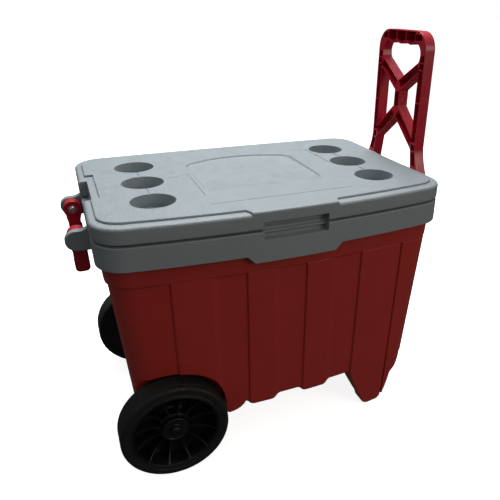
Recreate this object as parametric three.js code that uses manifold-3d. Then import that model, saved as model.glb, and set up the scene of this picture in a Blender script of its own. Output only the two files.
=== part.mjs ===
// A wheeled cooler: insulated tub, hinged lid with cup holders, tow handle, carry bail and two wheels.
// Millimetres, +Z up, the floor at z = 0. +X is the tow handle's end, -Y is the front.
import * as THREE from 'three';
import { mergeVertices } from 'three/addons/utils/BufferGeometryUtils.js';
import Module from 'manifold-3d';

const wasm = await Module();
wasm.setup();
const { Manifold, Mesh: SolidMesh } = wasm;

// ---- driving dimensions ----------------------------------------------------------------------
const LID_HALF_X = 328;
const LID_HALF_Y = 230;
const LID_TOP = 520;
const LID_BORDER_TOP = 516;
const LID_BOTTOM = 488;
const LID_CORNER = 55;
const FRONT_BOW = 18;
const BACK_BOW = 4;
const LID_WALL = 3.5;
const COLLAR_TOP = 487;
const COLLAR_BOTTOM = 441;
const COLLAR_STEP = 3;
const COLLAR_WALL = 4.5;
const BODY_HALF_X = 320;
const BODY_HALF_Y = 218;
const BODY_TOP = 462;
const BODY_BOTTOM = 105;
const BODY_CORNER = 50;
const BODY_WALL = 3.5;
const END_DRAFT = 3.3;
const SIDE_DRAFT = 2.2;
const BAND_BOTTOM = 405;
const RELIEF = 4;
const PILASTERS = [[-219, -144], [-87, -30], [27, 85], [143, 236]];
const TUB_HALF_X = 282;
const TUB_HALF_Y = 182;
const TUB_CORNER = 45;
const TUB_FLOOR = 132;
const TUB_WALL = 3;
const CUP_RADIUS = 38.4;
const CUP_DEPTH = 24;
const CUP_WALL = 3;
const CUP_X = 217.8;
const CUP_PITCH = 110.1;
const WHEEL_X = -239.7;
const WHEEL_RADIUS = 101.5;
const WHEEL_OUTER = 224;
const WHEEL_WIDTH = 50;
const RIM_RADIUS = 82;
const HUB_RADIUS = 25.5;
const HUB_FACE = 40;
const SPOKES = 12;
const ARCH_RADIUS = 114;
const WELL_INNER = 162;
const AXLE_RADIUS = 6.3;
const PIVOT_Z = 461;
const TOW_PIVOT_X = 346.3;
const BAIL_PIVOT_X = -346;
const LUG_REACH = 369;
const LUG_RADIUS = 20;
const LUG_WIDTH = 14;
const BAIL_LUG_Y = 86;
const TOW_LUG_Y = 106;
const TOW_FACE_X = 328.6;
const TOW_THICKNESS = 23;
const TOW_HALF_WIDTH = 84.75;
const TOW_TOP = 779;
const HINGE_X = 85;
const HINGE_Y = 232;
const HINGE_Z = 487.5;
const HINGE_WIDTH = 50;
const BARREL_RADIUS = 4.5;
const DRAIN_Z = 160;
const GAP = 0.3;
const NOTCH_HALF = 57;
const NOTCH_DEPTH = 15;
const RECESS_HALF = 60;
const RECESS_BACK = 213.5;
const RECESS_Z = [468.5, 501];
const HINGE_NOTCH = { half: 140, y: 216 };
const HINGE_SCREW_X = 15;
const LEAF_SCREW_Z = 472;
const LID_SCREW_Z = 502;
const SCREW_HOLE = 2.1;
const KNUCKLE_GAP = 0.5;
const MIDDLE_KNUCKLE = 20;
const DECK = { halfX: 315, halfY: 211, corner: 42, bottom: 510 };
const NOSE_HALF = [78, 88];
const TRAY = { halfX: 119, halfY: 108, corner: 30, bow: 22, centreY: 10, depth: 1.5 };
const APRON_HALF = [76, 90];
const APRON_DROP = 14;
const MOUTH_INSET = 24;
const STEP_X = -112;
const STEP_Y = 150;
const STEP_TOP = 236;
const BEAM_RADIUS = 17;
const DRAIN_BOSS = 24;
const DRAIN_BORE = 12.9;
const PIVOT_BORE = 3.3;
const HANDLE_BORE = 4.3;
const LEG_INNER = 77;
const LEG_OUTER = 105.5;
const RAIL_INNER = 68;
const TOW_BOSS = 15;
const BAIL_ARM_Y = 85.3;
const BAIL_ARM_INNER = 64;
const BAIL_BOSS = 17;
const BAIL_GRIP_TOP = 431;
const BAIL_GRIP_BOTTOM = 397;

// ---- materials -------------------------------------------------------------------------------
function finish(color, roughness, metalness) {
  return new THREE.MeshStandardMaterial({ color, roughness, metalness });
}

const GREY_PLASTIC = [0x8b9192, 0.55, 0];
const RED_PLASTIC = [0x7d1c1e, 0.45, 0];
const RED_GLOSS = [0x9c1f31, 0.35, 0];
const WHITE_PLASTIC = [0xe9e9e4, 0.4, 0];
const FOAM = [0xe4d9a8, 0.9, 0];
const BLACK_PLASTIC = [0x161616, 0.5, 0];
const RUBBER = [0x1b1b1a, 0.75, 0];
const STEEL = [0xb9bbbd, 0.3, 1];

// ---- solids ----------------------------------------------------------------------------------
function toSolid(geometry) {
  const bare = geometry.clone();
  bare.deleteAttribute('normal');
  bare.deleteAttribute('uv');
  const welded = mergeVertices(bare, 1e-4);
  const vertProperties = new Float32Array(welded.attributes.position.array);
  const triVerts = new Uint32Array(welded.index.array);
  return new Manifold(new SolidMesh({ numProp: 3, vertProperties, triVerts }));
}

function toGeometry(solid) {
  const mesh = solid.getMesh();
  const geometry = new THREE.BufferGeometry();
  geometry.setAttribute('position', new THREE.BufferAttribute(mesh.vertProperties, 3));
  geometry.setIndex(new THREE.BufferAttribute(mesh.triVerts, 1));
  return geometry;
}

function join(...solids) {
  return solids.reduce((whole, solid) => whole.add(solid));
}

function cut(solid, ...tools) {
  return tools.reduce((rest, tool) => rest.subtract(tool), solid);
}

// A box between two corners.
function block(low, high) {
  const size = high.map((value, axis) => value - low[axis]);
  const geometry = new THREE.BoxGeometry(...size);
  geometry.translate(...low.map((value, axis) => value + size[axis] / 2));
  return toSolid(geometry);
}

// A round bar along Y from y0 to y1.
function barY(radius, x, y0, y1, z, segments = 24) {
  const geometry = new THREE.CylinderGeometry(radius, radius, y1 - y0, segments);
  geometry.translate(x, (y0 + y1) / 2, z);
  return toSolid(geometry);
}

// A round bar along X from x0 to x1.
function barX(radius, x0, x1, y, z, segments = 24) {
  const geometry = new THREE.CylinderGeometry(radius, radius, x1 - x0, segments);
  geometry.rotateZ(Math.PI / 2);
  geometry.translate((x0 + x1) / 2, y, z);
  return toSolid(geometry);
}

// A round bar along Z from z0 to z1.
function barZ(radius, x, y, z0, z1, segments = 24) {
  const geometry = new THREE.CylinderGeometry(radius, radius, z1 - z0, segments);
  geometry.rotateX(Math.PI / 2);
  geometry.translate(x, y, (z0 + z1) / 2);
  return toSolid(geometry);
}

// A plate whose shape is drawn in (y, z), from x0 to x1.
function plateX(shape, x0, x1, curveSegments = 6) {
  const geometry = new THREE.ExtrudeGeometry(shape, { depth: x1 - x0, bevelEnabled: false, curveSegments });
  const axes = [new THREE.Vector3(0, 1, 0), new THREE.Vector3(0, 0, 1), new THREE.Vector3(1, 0, 0)];
  geometry.applyMatrix4(new THREE.Matrix4().makeBasis(...axes));
  geometry.translate(x0, 0, 0);
  return toSolid(geometry);
}

// A plate whose shape is drawn in (x, z), from y0 to y1.
function plateY(shape, y0, y1, curveSegments = 6) {
  const geometry = new THREE.ExtrudeGeometry(shape, { depth: y1 - y0, bevelEnabled: false, curveSegments });
  geometry.rotateX(Math.PI / 2);
  geometry.translate(0, y1, 0);
  return toSolid(geometry);
}

// A ring or disc turned about the Y axis: its profile is [radius, y] pairs.
function turned(profile, segments = 28) {
  const points = profile.map(([radius, y]) => new THREE.Vector2(radius, y));
  return toSolid(new THREE.LatheGeometry(points, segments));
}

// ---- outlines --------------------------------------------------------------------------------
// One quarter of a rounded rectangle, from the end's straight edge round to the long side's middle.
function quarter(halfX, halfY, bow, radius) {
  const cornerSteps = 4;
  const sideSteps = 2;
  const reach = halfX - radius;
  const slope = Math.atan((2 * bow) / reach);
  const endX = reach + radius * Math.sin(slope);
  const fall = Math.tan(slope) / (2 * endX);
  const centreY = halfY - fall * endX * endX - radius * Math.cos(slope);
  const points = [];
  for (let step = 0; step <= cornerSteps; step += 1) {
    const angle = ((Math.PI / 2 - slope) * step) / cornerSteps;
    points.push([reach + radius * Math.cos(angle), centreY + radius * Math.sin(angle)]);
  }
  for (let step = 1; step <= sideSteps; step += 1) {
    const x = endX * (1 - step / sideSteps);
    points.push([x, halfY - fall * x * x]);
  }
  return points;
}

// A rounded rectangle whose long sides bow outwards, as a closed anticlockwise list of points.
function bowed(halfX, halfY, radius, frontBow = FRONT_BOW, backBow = BACK_BOW) {
  const back = quarter(halfX, halfY, backBow, radius);
  const front = quarter(halfX, halfY, frontBow, radius);
  const backLeft = back.slice(0, -1).map(([x, y]) => [-x, y]).reverse();
  const frontLeft = front.map(([x, y]) => [-x, -y]);
  const frontRight = front.slice(0, -1).map(([x, y]) => [x, -y]).reverse();
  return [...back, ...backLeft, ...frontLeft, ...frontRight];
}

// A solid skinned over a stack of outlines that all have the same number of points.
function loft(rings) {
  const count = rings[0].outline.length;
  const positions = rings.flatMap(({ outline, z }) => outline.flatMap(([x, y]) => [x, y, z]));
  const index = [];
  for (let ring = 0; ring + 1 < rings.length; ring += 1) {
    for (let i = 0; i < count; i += 1) {
      const next = (i + 1) % count;
      const low = ring * count;
      const high = low + count;
      index.push(low + i, low + next, high + next, low + i, high + next, high + i);
    }
  }
  const flat = rings[0].outline.map(([x, y]) => new THREE.Vector2(x, y));
  const top = (rings.length - 1) * count;
  for (const [a, b, c] of THREE.ShapeUtils.triangulateShape(flat, [])) {
    index.push(a, c, b, top + a, top + b, top + c);
  }
  const geometry = new THREE.BufferGeometry();
  geometry.setAttribute('position', new THREE.BufferAttribute(new Float32Array(positions), 3));
  geometry.setIndex(index);
  return toSolid(geometry);
}

function lidOutline(inset) {
  return bowed(LID_HALF_X - inset, LID_HALF_Y - inset, LID_CORNER - inset);
}

function collarOutline(inset) {
  return lidOutline(COLLAR_STEP + inset);
}

const rad = THREE.MathUtils.degToRad;

function bodyOutline(z, inset) {
  const below = COLLAR_BOTTOM - z;
  const halfX = BODY_HALF_X - below * Math.tan(rad(END_DRAFT)) - inset;
  const halfY = BODY_HALF_Y - below * Math.tan(rad(SIDE_DRAFT)) - inset;
  return bowed(halfX, halfY, BODY_CORNER - inset);
}

function bodyRing(z, inset) {
  return { outline: bodyOutline(z, inset), z };
}

function tubOutline(z, inset) {
  const narrowing = (COLLAR_TOP - z) * Math.tan(rad(END_DRAFT));
  const halfX = TUB_HALF_X - narrowing - inset;
  const halfY = TUB_HALF_Y - narrowing - inset;
  return bowed(halfX, halfY, TUB_CORNER - inset, FRONT_BOW / 2, BACK_BOW);
}

function tubLoft(inset, z0, z1) {
  return loft([z0, z1].map((z) => ({ outline: tubOutline(z, inset), z })));
}

// ---- shared cutting shapes -------------------------------------------------------------------
// Both wheel wells, grown by a wall thickness: an arch over each wheel, open below and outside.
function wheelWells(grow) {
  const wells = [-1, 1].map((side) => {
    const inner = side * (WELL_INNER - grow);
    const outer = side * 300;
    const [y0, y1] = [Math.min(inner, outer), Math.max(inner, outer)];
    const arch = barY(ARCH_RADIUS + grow, WHEEL_X, y0, y1, WHEEL_RADIUS, 32);
    const right = WHEEL_X + ARCH_RADIUS + grow;
    return arch.add(block([-400, y0, -50], [right, y1, WHEEL_RADIUS]));
  });
  return wells[0].add(wells[1]);
}

// The stepped corners that keep the tub clear of the wheel wells.
function tubSteps(grow) {
  const right = STEP_X + grow;
  const inner = STEP_Y - grow;
  const top = STEP_TOP + grow;
  const rear = block([-400, inner, 0], [right, 300, top]);
  const front = block([-400, -300, 0], [right, -inner, top]);
  return rear.add(front);
}

// The finger recess at the middle of the front: part in the lid, part in the collar.
function fingerRecess(grow) {
  const [z0, z1] = RECESS_Z;
  return block([-RECESS_HALF - grow, -300, z0 - grow], [RECESS_HALF + grow, grow - RECESS_BACK, z1 + grow]);
}

function endNotches(grow) {
  const edge = LID_HALF_X - NOTCH_DEPTH - grow;
  const half = NOTCH_HALF + grow;
  const left = block([-400, -half, 400], [-edge, half, 600]);
  const right = block([edge, -half, 400], [400, half, 600]);
  return left.add(right);
}

function hingeNotch(grow) {
  const { half, y } = HINGE_NOTCH;
  return block([-half - grow, y - grow, 400], [half + grow, 300, 600]);
}

function cups(grow, bottom) {
  const wells = [];
  for (const x of [-CUP_X, CUP_X]) {
    for (const row of [-1, 0, 1]) {
      wells.push(barZ(CUP_RADIUS + grow, x, row * CUP_PITCH, bottom, 560, 20));
    }
  }
  return join(...wells);
}

// Screw holes of both lid hinges.
function hingeScrewHoles(z, y0, y1) {
  const holes = [];
  for (const x of [-HINGE_X, HINGE_X]) {
    for (const side of [-HINGE_SCREW_X, HINGE_SCREW_X]) {
      holes.push(barY(SCREW_HOLE, x + side, y0, y1, z, 8));
    }
  }
  return join(...holes);
}

// ---- the fixed body --------------------------------------------------------------------------
// One foot at the tow handle's end, under the last pilaster: side -1 is the front foot, 1 the rear one.
function foot(side) {
  const top = 125;
  const shape = new THREE.Shape();
  shape.moveTo(143, top);
  shape.lineTo(143, 108);
  shape.quadraticCurveTo(160, 62, 182, 6);
  shape.quadraticCurveTo(185, 0, 190, 0);
  shape.lineTo(233, 0);
  shape.quadraticCurveTo(239, 0, 242, 7);
  shape.lineTo(258, 70);
  shape.quadraticCurveTo(277, 78, 281, 110);
  shape.lineTo(281, top);
  const profile = plateY(shape, Math.min(100 * side, 240 * side), Math.max(100 * side, 240 * side), 4);
  const span = (inner) => [[100, inner], [300, inner], [300, 260], [100, 260]];
  const faced = (inner) => (side > 0 ? span(inner) : span(inner).map(([x, y]) => [x, -y]).reverse());
  const drafted = loft([{ outline: faced(164), z: -1 }, { outline: faced(126), z: top + 1 }]);
  const face = loft([bodyRing(-1, 0.6), bodyRing(top + 1, 0.6)]);
  return profile.intersect(drafted).intersect(face);
}

function bodySkin() {
  const recessed = loft([bodyRing(BODY_BOTTOM, 13), bodyRing(114, 6), bodyRing(124, RELIEF),
    bodyRing(BAND_BOTTOM, RELIEF)]);
  const band = loft([bodyRing(BAND_BOTTOM - 3, 0), bodyRing(BODY_TOP, 0)]);
  const proud = loft([bodyRing(98, 10), bodyRing(112, 1), bodyRing(BAND_BOTTOM, 0.5)]);
  const slabs = PILASTERS.flatMap(([x0, x1]) => [
    block([x0, -260, 90], [x1, -150, BAND_BOTTOM + 1]),
    block([x0, 150, 90], [x1, 260, BAND_BOTTOM + 1]),
  ]);
  return join(recessed, band, proud.intersect(join(...slabs)));
}

function outerShell() {
  const axleBeam = barY(BEAM_RADIUS, WHEEL_X, -WELL_INNER, WELL_INNER, WHEEL_RADIUS, 20);
  const drainBoss = barX(DRAIN_BOSS, 290, 306, 0, DRAIN_Z, 20);
  const hollow = loft([bodyRing(BODY_BOTTOM + BODY_WALL, 14), bodyRing(126, RELIEF + BODY_WALL),
    bodyRing(BAND_BOTTOM, RELIEF + BODY_WALL), bodyRing(BODY_TOP + 5, RELIEF + BODY_WALL)]);
  const skin = cut(bodySkin(), wheelWells(0));
  const cavity = cut(hollow, wheelWells(BODY_WALL));
  const shell = join(cut(skin, cavity), axleBeam, drainBoss, foot(-1), foot(1));
  const axleBore = barY(AXLE_RADIUS + GAP, WHEEL_X, -200, 200, WHEEL_RADIUS, 20);
  const drainBore = barX(DRAIN_BORE, 280, 320, 0, DRAIN_Z, 20);
  return cut(shell, axleBore, drainBore);
}

// A rounded tab that stands out from the collar's end and carries a handle's pivot.
function lug(end, y) {
  const shape = new THREE.Shape();
  const centreX = LUG_REACH - LUG_RADIUS;
  shape.moveTo(310, PIVOT_Z - LUG_RADIUS);
  shape.lineTo(centreX, PIVOT_Z - LUG_RADIUS);
  shape.absarc(centreX, PIVOT_Z, LUG_RADIUS, -Math.PI / 2, Math.PI / 2, false);
  shape.lineTo(310, PIVOT_Z + LUG_RADIUS);
  const y0 = y > 0 ? y : y - LUG_WIDTH;
  const tab = plateY(shape, y0, y0 + LUG_WIDTH, 10);
  return end > 0 ? tab : tab.mirror([1, 0, 0]);
}

function trimCollar() {
  const outer = loft([{ outline: collarOutline(0), z: COLLAR_BOTTOM }, { outline: collarOutline(0), z: 484 },
    { outline: collarOutline(1.5), z: COLLAR_TOP }]);
  const [tip, root] = APRON_HALF;
  const apronShape = new THREE.Shape();
  apronShape.moveTo(-root - 2, COLLAR_BOTTOM + 2);
  apronShape.lineTo(-root, COLLAR_BOTTOM);
  apronShape.lineTo(-tip, COLLAR_BOTTOM - APRON_DROP);
  apronShape.lineTo(tip, COLLAR_BOTTOM - APRON_DROP);
  apronShape.lineTo(root, COLLAR_BOTTOM);
  apronShape.lineTo(root + 2, COLLAR_BOTTOM + 2);
  const skirt = loft([{ outline: collarOutline(0), z: COLLAR_BOTTOM - APRON_DROP - 5 },
    { outline: collarOutline(0), z: COLLAR_TOP - 5 }]);
  const apron = plateY(apronShape, -240, -205, 1).intersect(skirt);
  const bodySeat = loft([bodyRing(410, -GAP), bodyRing(BODY_TOP + GAP, -GAP)]);
  const hollow = cut(
    loft([{ outline: collarOutline(COLLAR_WALL), z: BODY_TOP }, { outline: collarOutline(COLLAR_WALL), z: 483 }]),
    block([-RECESS_HALF - 4, -300, RECESS_Z[0] - 3.5], [RECESS_HALF + 4, 4.5 - RECESS_BACK, 500]),
  );
  const mouth = loft([{ outline: collarOutline(MOUTH_INSET), z: 420 },
    { outline: collarOutline(MOUTH_INSET), z: 500 }]);
  const ring = cut(join(outer, apron), bodySeat, hollow, mouth, fingerRecess(0));
  const lugs = [lug(-1, BAIL_LUG_Y), lug(-1, -BAIL_LUG_Y), lug(1, TOW_LUG_Y), lug(1, -TOW_LUG_Y)];
  const tabs = cut(join(...lugs), bodySeat, block([-316, -300, 400], [316, 300, 600]));
  const depth = 11.3;
  const bores = [[BAIL_PIVOT_X, BAIL_LUG_Y], [TOW_PIVOT_X, TOW_LUG_Y]].flatMap(([x, y]) => [
    barY(PIVOT_BORE, x, y - 1, y + depth, PIVOT_Z, 12),
    barY(PIVOT_BORE, x, -y - depth, 1 - y, PIVOT_Z, 12),
  ]);
  return cut(join(ring, tabs), hingeScrewHoles(LEAF_SCREW_Z, 215, 240), ...bores);
}

function innerLiner() {
  const tub = cut(tubLoft(0, TUB_FLOOR, 484), tubSteps(0));
  const inside = cut(tubLoft(TUB_WALL, TUB_FLOOR + TUB_WALL, 500), tubSteps(TUB_WALL));
  const rim = collarOutline(MOUTH_INSET + GAP);
  const flange = loft([{ outline: rim, z: 483.3 }, { outline: rim, z: COLLAR_TOP }]);
  const boss = barX(DRAIN_BOSS, 257, 262, 0, DRAIN_Z, 20);
  return cut(join(cut(join(tub, flange), inside), boss), barX(DRAIN_BORE, 240, 290, 0, DRAIN_Z, 20));
}

function insulationFoam() {
  const spacing = RELIEF + BODY_WALL + 0.5;
  const outer = loft([bodyRing(BODY_BOTTOM + BODY_WALL + 0.6, 16), bodyRing(127, spacing),
    bodyRing(BAND_BOTTOM, spacing), bodyRing(482.8, spacing)]);
  const room = cut(tubLoft(-0.4, TUB_FLOOR - 0.5, 500), tubSteps(-0.4));
  const beam = barY(BEAM_RADIUS + 0.5, WHEEL_X, -200, 200, WHEEL_RADIUS, 20);
  const recess = fingerRecess(5.5);
  const feet = [foot(-1), foot(1)];
  const drain = barX(DRAIN_BOSS + 0.6, 240, 320, 0, DRAIN_Z, 20);
  return cut(outer, room, wheelWells(BODY_WALL + 0.5), beam, recess, drain, ...feet);
}

// ---- the lid ---------------------------------------------------------------------------------
// The raised deck of the lid: an inset rounded rectangle that runs out to the front edge in the middle.
function lidDeck() {
  const { halfX, halfY, corner, bottom } = DECK;
  const deck = loft([bottom, LID_TOP].map((z) => ({ outline: bowed(halfX, halfY, corner), z })));
  const [tip, root] = NOSE_HALF;
  const noseShape = new THREE.Shape();
  noseShape.moveTo(-root, -195);
  noseShape.lineTo(-tip, -229);
  noseShape.lineTo(tip, -229);
  noseShape.lineTo(root, -195);
  const nose = new THREE.ExtrudeGeometry(noseShape, { depth: LID_TOP - bottom, bevelEnabled: false });
  nose.translate(0, 0, bottom);
  const limit = loft([{ outline: lidOutline(0), z: 500 }, { outline: lidOutline(2), z: LID_TOP }]);
  return deck.add(toSolid(nose).intersect(limit));
}

function lidShell() {
  const base = loft([{ outline: lidOutline(1), z: LID_BOTTOM }, { outline: lidOutline(0), z: 491 },
    { outline: lidOutline(0), z: 512 }, { outline: lidOutline(4), z: LID_BORDER_TOP }]);
  const trayOutline = bowed(TRAY.halfX, TRAY.halfY, TRAY.corner, 0, TRAY.bow);
  const tray = loft([LID_TOP - TRAY.depth, LID_TOP + 10].map((z) => {
    return { outline: trayOutline.map(([x, y]) => [x, y + TRAY.centreY]), z };
  }));
  const cavity = loft([480, 512].map((z) => ({ outline: lidOutline(LID_WALL), z })));
  const floor = LID_TOP - CUP_DEPTH;
  const room = cut(cavity, cups(CUP_WALL, floor - CUP_WALL), endNotches(LID_WALL), hingeNotch(LID_WALL),
    fingerRecess(LID_WALL));
  const openings = [cups(0, floor), endNotches(0), hingeNotch(0), fingerRecess(0)];
  const holes = hingeScrewHoles(LID_SCREW_Z, 205, 225);
  return cut(join(base, lidDeck()), room, tray, ...openings, holes);
}

function lidLiner() {
  const outline = lidOutline(LID_WALL + GAP);
  const flange = cut(loft([LID_BOTTOM + GAP, 492].map((z) => ({ outline, z }))),
    endNotches(LID_WALL + GAP), hingeNotch(LID_WALL + GAP), fingerRecess(LID_WALL + GAP));
  const plug = tubLoft(6, 474, 491);
  const pan = tubLoft(9, 477, 500);
  const groove = loft([480, 490.3].map((z) => ({ outline: tubOutline(483, -11), z })))
    .subtract(loft([470, 492].map((z) => ({ outline: tubOutline(483, -4), z }))));
  return cut(join(flange, plug), pan, groove);
}

function lidGasket() {
  const outer = loft([487.3, 490].map((z) => ({ outline: tubOutline(483, -10.7), z })));
  return outer.subtract(loft([480, 500].map((z) => ({ outline: tubOutline(483, -4.3), z }))));
}

function lidFoam() {
  const slab = loft([492.4, 511.5].map((z) => ({ outline: lidOutline(LID_WALL + 0.5), z })));
  const plug = tubLoft(9.4, 477.4, 493);
  const inset = LID_WALL + 0.5;
  const wells = cups(CUP_WALL + 0.4, LID_TOP - CUP_DEPTH - CUP_WALL - 0.8);
  return cut(join(slab, plug), wells, endNotches(inset), hingeNotch(inset), fingerRecess(inset),
    hingeScrewHoles(LID_SCREW_Z, 195, 225));
}

// ---- lid hinges ------------------------------------------------------------------------------
function hingePinBore() {
  return barX(2.3, -40, 40, HINGE_Y, HINGE_Z, 8);
}

function bodyLeaf() {
  const half = HINGE_WIDTH / 2;
  const plate = block([-half, 227.3, 465], [half, 229.8, HINGE_Z]);
  const barrel = barX(BARREL_RADIUS, -half, half, HINGE_Y, HINGE_Z, 12);
  const clear = MIDDLE_KNUCKLE / 2 + KNUCKLE_GAP;
  const middle = block([-clear, 220, HINGE_Z - 6], [clear, 245, HINGE_Z + 10]);
  const holes = [-HINGE_SCREW_X, HINGE_SCREW_X].map((x) => barY(SCREW_HOLE, x, 220, 235, LEAF_SCREW_Z, 8));
  return cut(join(plate, barrel), middle, hingePinBore(), ...holes);
}

function lidLeaf() {
  const half = HINGE_WIDTH / 2;
  const clear = MIDDLE_KNUCKLE / 2;
  const plate = block([-half, 216.3, 488.4], [half, 218.8, 510]);
  const tab = block([-clear, 216.3, 488.4], [clear, HINGE_Y, 491]);
  const barrel = barX(BARREL_RADIUS, -clear, clear, HINGE_Y, HINGE_Z, 12);
  const holes = [-HINGE_SCREW_X, HINGE_SCREW_X].map((x) => barY(SCREW_HOLE, x, 210, 225, LID_SCREW_Z, 8));
  return cut(join(plate, tab, barrel), hingePinBore(), ...holes);
}

function hingePin() {
  return join(barX(1.9, -26, 26, HINGE_Y, HINGE_Z, 8), barX(3.4, 25.4, 27, HINGE_Y, HINGE_Z, 8));
}

// ---- screws, washers and bushes, turned about Y with the head towards +Y ----------------------
function panScrew(headRadius, headHeight, shankRadius, length, segments = 12) {
  return turned([[0, -length], [shankRadius, -length], [shankRadius, 0], [headRadius, 0],
    [headRadius, headHeight * 0.45], [headRadius * 0.7, headHeight], [0, headHeight]], segments);
}

function ringY(inner, outer, y0, y1, segments = 14) {
  return turned([[inner, y0], [outer, y0], [outer, y1], [inner, y1], [inner, y0]], segments);
}

// ---- tow handle ------------------------------------------------------------------------------
function towOutline() {
  const shape = new THREE.Shape();
  const round = 36;
  const side = TOW_HALF_WIDTH;
  shape.moveTo(LEG_INNER, PIVOT_Z);
  shape.lineTo(LEG_OUTER, PIVOT_Z);
  shape.lineTo(LEG_OUTER, 500);
  shape.lineTo(side, 548);
  shape.absarc(side - round, TOW_TOP - round, round, 0, Math.PI / 2, false);
  shape.absarc(round - side, TOW_TOP - round, round, Math.PI / 2, Math.PI, false);
  shape.lineTo(-side, 548);
  shape.lineTo(-LEG_OUTER, 500);
  shape.lineTo(-LEG_OUTER, PIVOT_Z);
  shape.lineTo(-LEG_INNER, PIVOT_Z);
  shape.lineTo(-LEG_INNER, 500);
  shape.lineTo(-RAIL_INNER, 550);
  shape.lineTo(0, 607);
  shape.lineTo(RAIL_INNER, 550);
  shape.lineTo(LEG_INNER, 500);
  return shape;
}

function gripOpening() {
  const path = new THREE.Path();
  path.moveTo(0, 682);
  path.lineTo(66, 724);
  path.lineTo(RAIL_INNER, 736);
  path.absarc(47, 736, 21, 0, Math.PI / 2, false);
  path.absarc(-47, 736, 21, Math.PI / 2, Math.PI, false);
  path.lineTo(-66, 724);
  return path;
}

function sideOpening(side) {
  const path = new THREE.Path();
  path.moveTo(side * 9, 628);
  path.lineTo(side * 9, 664);
  path.lineTo(side * RAIL_INNER, 703);
  path.lineTo(side * RAIL_INNER, 577);
  return path;
}

function towHandle() {
  const shape = towOutline();
  shape.holes.push(gripOpening(), sideOpening(-1), sideOpening(1));
  const frame = plateX(shape, TOW_FACE_X, TOW_FACE_X + TOW_THICKNESS, 5);
  const ends = [-1, 1].map((side) => {
    const y0 = side > 0 ? LEG_INNER : -LEG_OUTER;
    return barY(TOW_BOSS, TOW_PIVOT_X, y0, y0 + LEG_OUTER - LEG_INNER, PIVOT_Z, 24);
  });
  return cut(join(frame, ...ends), barY(HANDLE_BORE, TOW_PIVOT_X, -200, 200, PIVOT_Z, 16));
}

// ---- carry bail ------------------------------------------------------------------------------
function carryBail() {
  const arm = new THREE.Shape();
  arm.moveTo(BAIL_PIVOT_X - 11, 412);
  arm.lineTo(BAIL_PIVOT_X + 11, 412);
  arm.lineTo(BAIL_PIVOT_X + 11, PIVOT_Z);
  arm.lineTo(BAIL_PIVOT_X - 11, PIVOT_Z);
  const arms = [-1, 1].map((side) => {
    const y0 = side > 0 ? BAIL_ARM_INNER : -BAIL_ARM_Y;
    const y1 = y0 + BAIL_ARM_Y - BAIL_ARM_INNER;
    return join(plateY(arm, y0, y1, 1), barY(BAIL_BOSS, BAIL_PIVOT_X, y0, y1, PIVOT_Z, 24));
  });
  const grip = new THREE.Shape();
  const half = 12;
  const round = 8;
  grip.moveTo(BAIL_PIVOT_X - half + round, BAIL_GRIP_BOTTOM);
  grip.absarc(BAIL_PIVOT_X + half - round, BAIL_GRIP_BOTTOM + round, round, -Math.PI / 2, 0, false);
  grip.absarc(BAIL_PIVOT_X + half - round, BAIL_GRIP_TOP - round, round, 0, Math.PI / 2, false);
  grip.absarc(BAIL_PIVOT_X - half + round, BAIL_GRIP_TOP - round, round, Math.PI / 2, Math.PI, false);
  grip.absarc(BAIL_PIVOT_X - half + round, BAIL_GRIP_BOTTOM + round, round, Math.PI, 1.5 * Math.PI, false);
  const bar = plateY(grip, -BAIL_ARM_Y, BAIL_ARM_Y, 3);
  return cut(join(...arms, bar), barY(HANDLE_BORE, BAIL_PIVOT_X, -200, 200, PIVOT_Z, 16));
}

// ---- wheels, turned about Y with the outer face towards +Y and y = 0 at the inner face ---------
function wheelRim() {
  const width = WHEEL_WIDTH;
  const barrel = turned([[RIM_RADIUS, 1], [RIM_RADIUS, width - 1], [78.5, width - 1], [76, width - 8],
    [76, 9], [HUB_RADIUS, 9], [HUB_RADIUS, HUB_FACE], [9.8, HUB_FACE], [9.8, -3], [20, -3],
    [20, 4], [76, 4], [RIM_RADIUS, 1]], 28);
  const spokes = [];
  for (let i = 0; i < SPOKES; i += 1) {
    const geometry = new THREE.BoxGeometry(54, 24, 3.2);
    geometry.translate(50.5, 19, 0);
    geometry.rotateY((2 * Math.PI * (i + 0.5)) / SPOKES);
    spokes.push(toSolid(geometry));
  }
  return join(barrel, ...spokes);
}

function wheelTyre() {
  const width = WHEEL_WIDTH;
  const inner = RIM_RADIUS + GAP;
  return turned([[inner, 0], [93, 0], [99.5, 4], [WHEEL_RADIUS, 11], [WHEEL_RADIUS, width - 11],
    [99.5, width - 4], [93, width], [inner, width], [inner, 0]], 28);
}

function axleCap() {
  return turned([[6.6, -3.5], [10.7, -3.5], [10.7, 2], [8.5, 5], [4.5, 6.6], [0, 7], [0, 5], [4, 4.6],
    [6.6, 2.4], [6.6, -3.5]], 14);
}

// ---- drain, turned about Y and then laid along X -----------------------------------------------
function drainSpout() {
  return turned([[9, 0], [20, 0], [20, 2.6], [12.5, 2.6], [12.5, 62], [9, 62], [9, 0]], 16);
}

function drainCap() {
  return turned([[0, 6.4], [13, 6.4], [13, 0], [17, 0], [17, 8], [16, 10], [0, 10]], 16);
}

// ---- assembly --------------------------------------------------------------------------------
const cooler = new THREE.Group();
const REAR_REACH = HINGE_Y + BARREL_RADIUS;
cooler.position.y = (LID_HALF_Y - REAR_REACH) / 2;

function place(parent, name, solid, look, position = [0, 0, 0], rotation = [0, 0, 0]) {
  const mesh = new THREE.Mesh(toGeometry(solid), finish(...look));
  mesh.name = name;
  mesh.position.set(...position);
  mesh.rotation.set(...rotation);
  parent.add(mesh);
}

const FACE_FRONT = [0, 0, Math.PI];

place(cooler, 'outer_shell', outerShell(), RED_PLASTIC);
place(cooler, 'trim_collar', trimCollar(), GREY_PLASTIC);
place(cooler, 'inner_liner', innerLiner(), WHITE_PLASTIC);
place(cooler, 'insulation_foam', insulationFoam(), FOAM);

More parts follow.
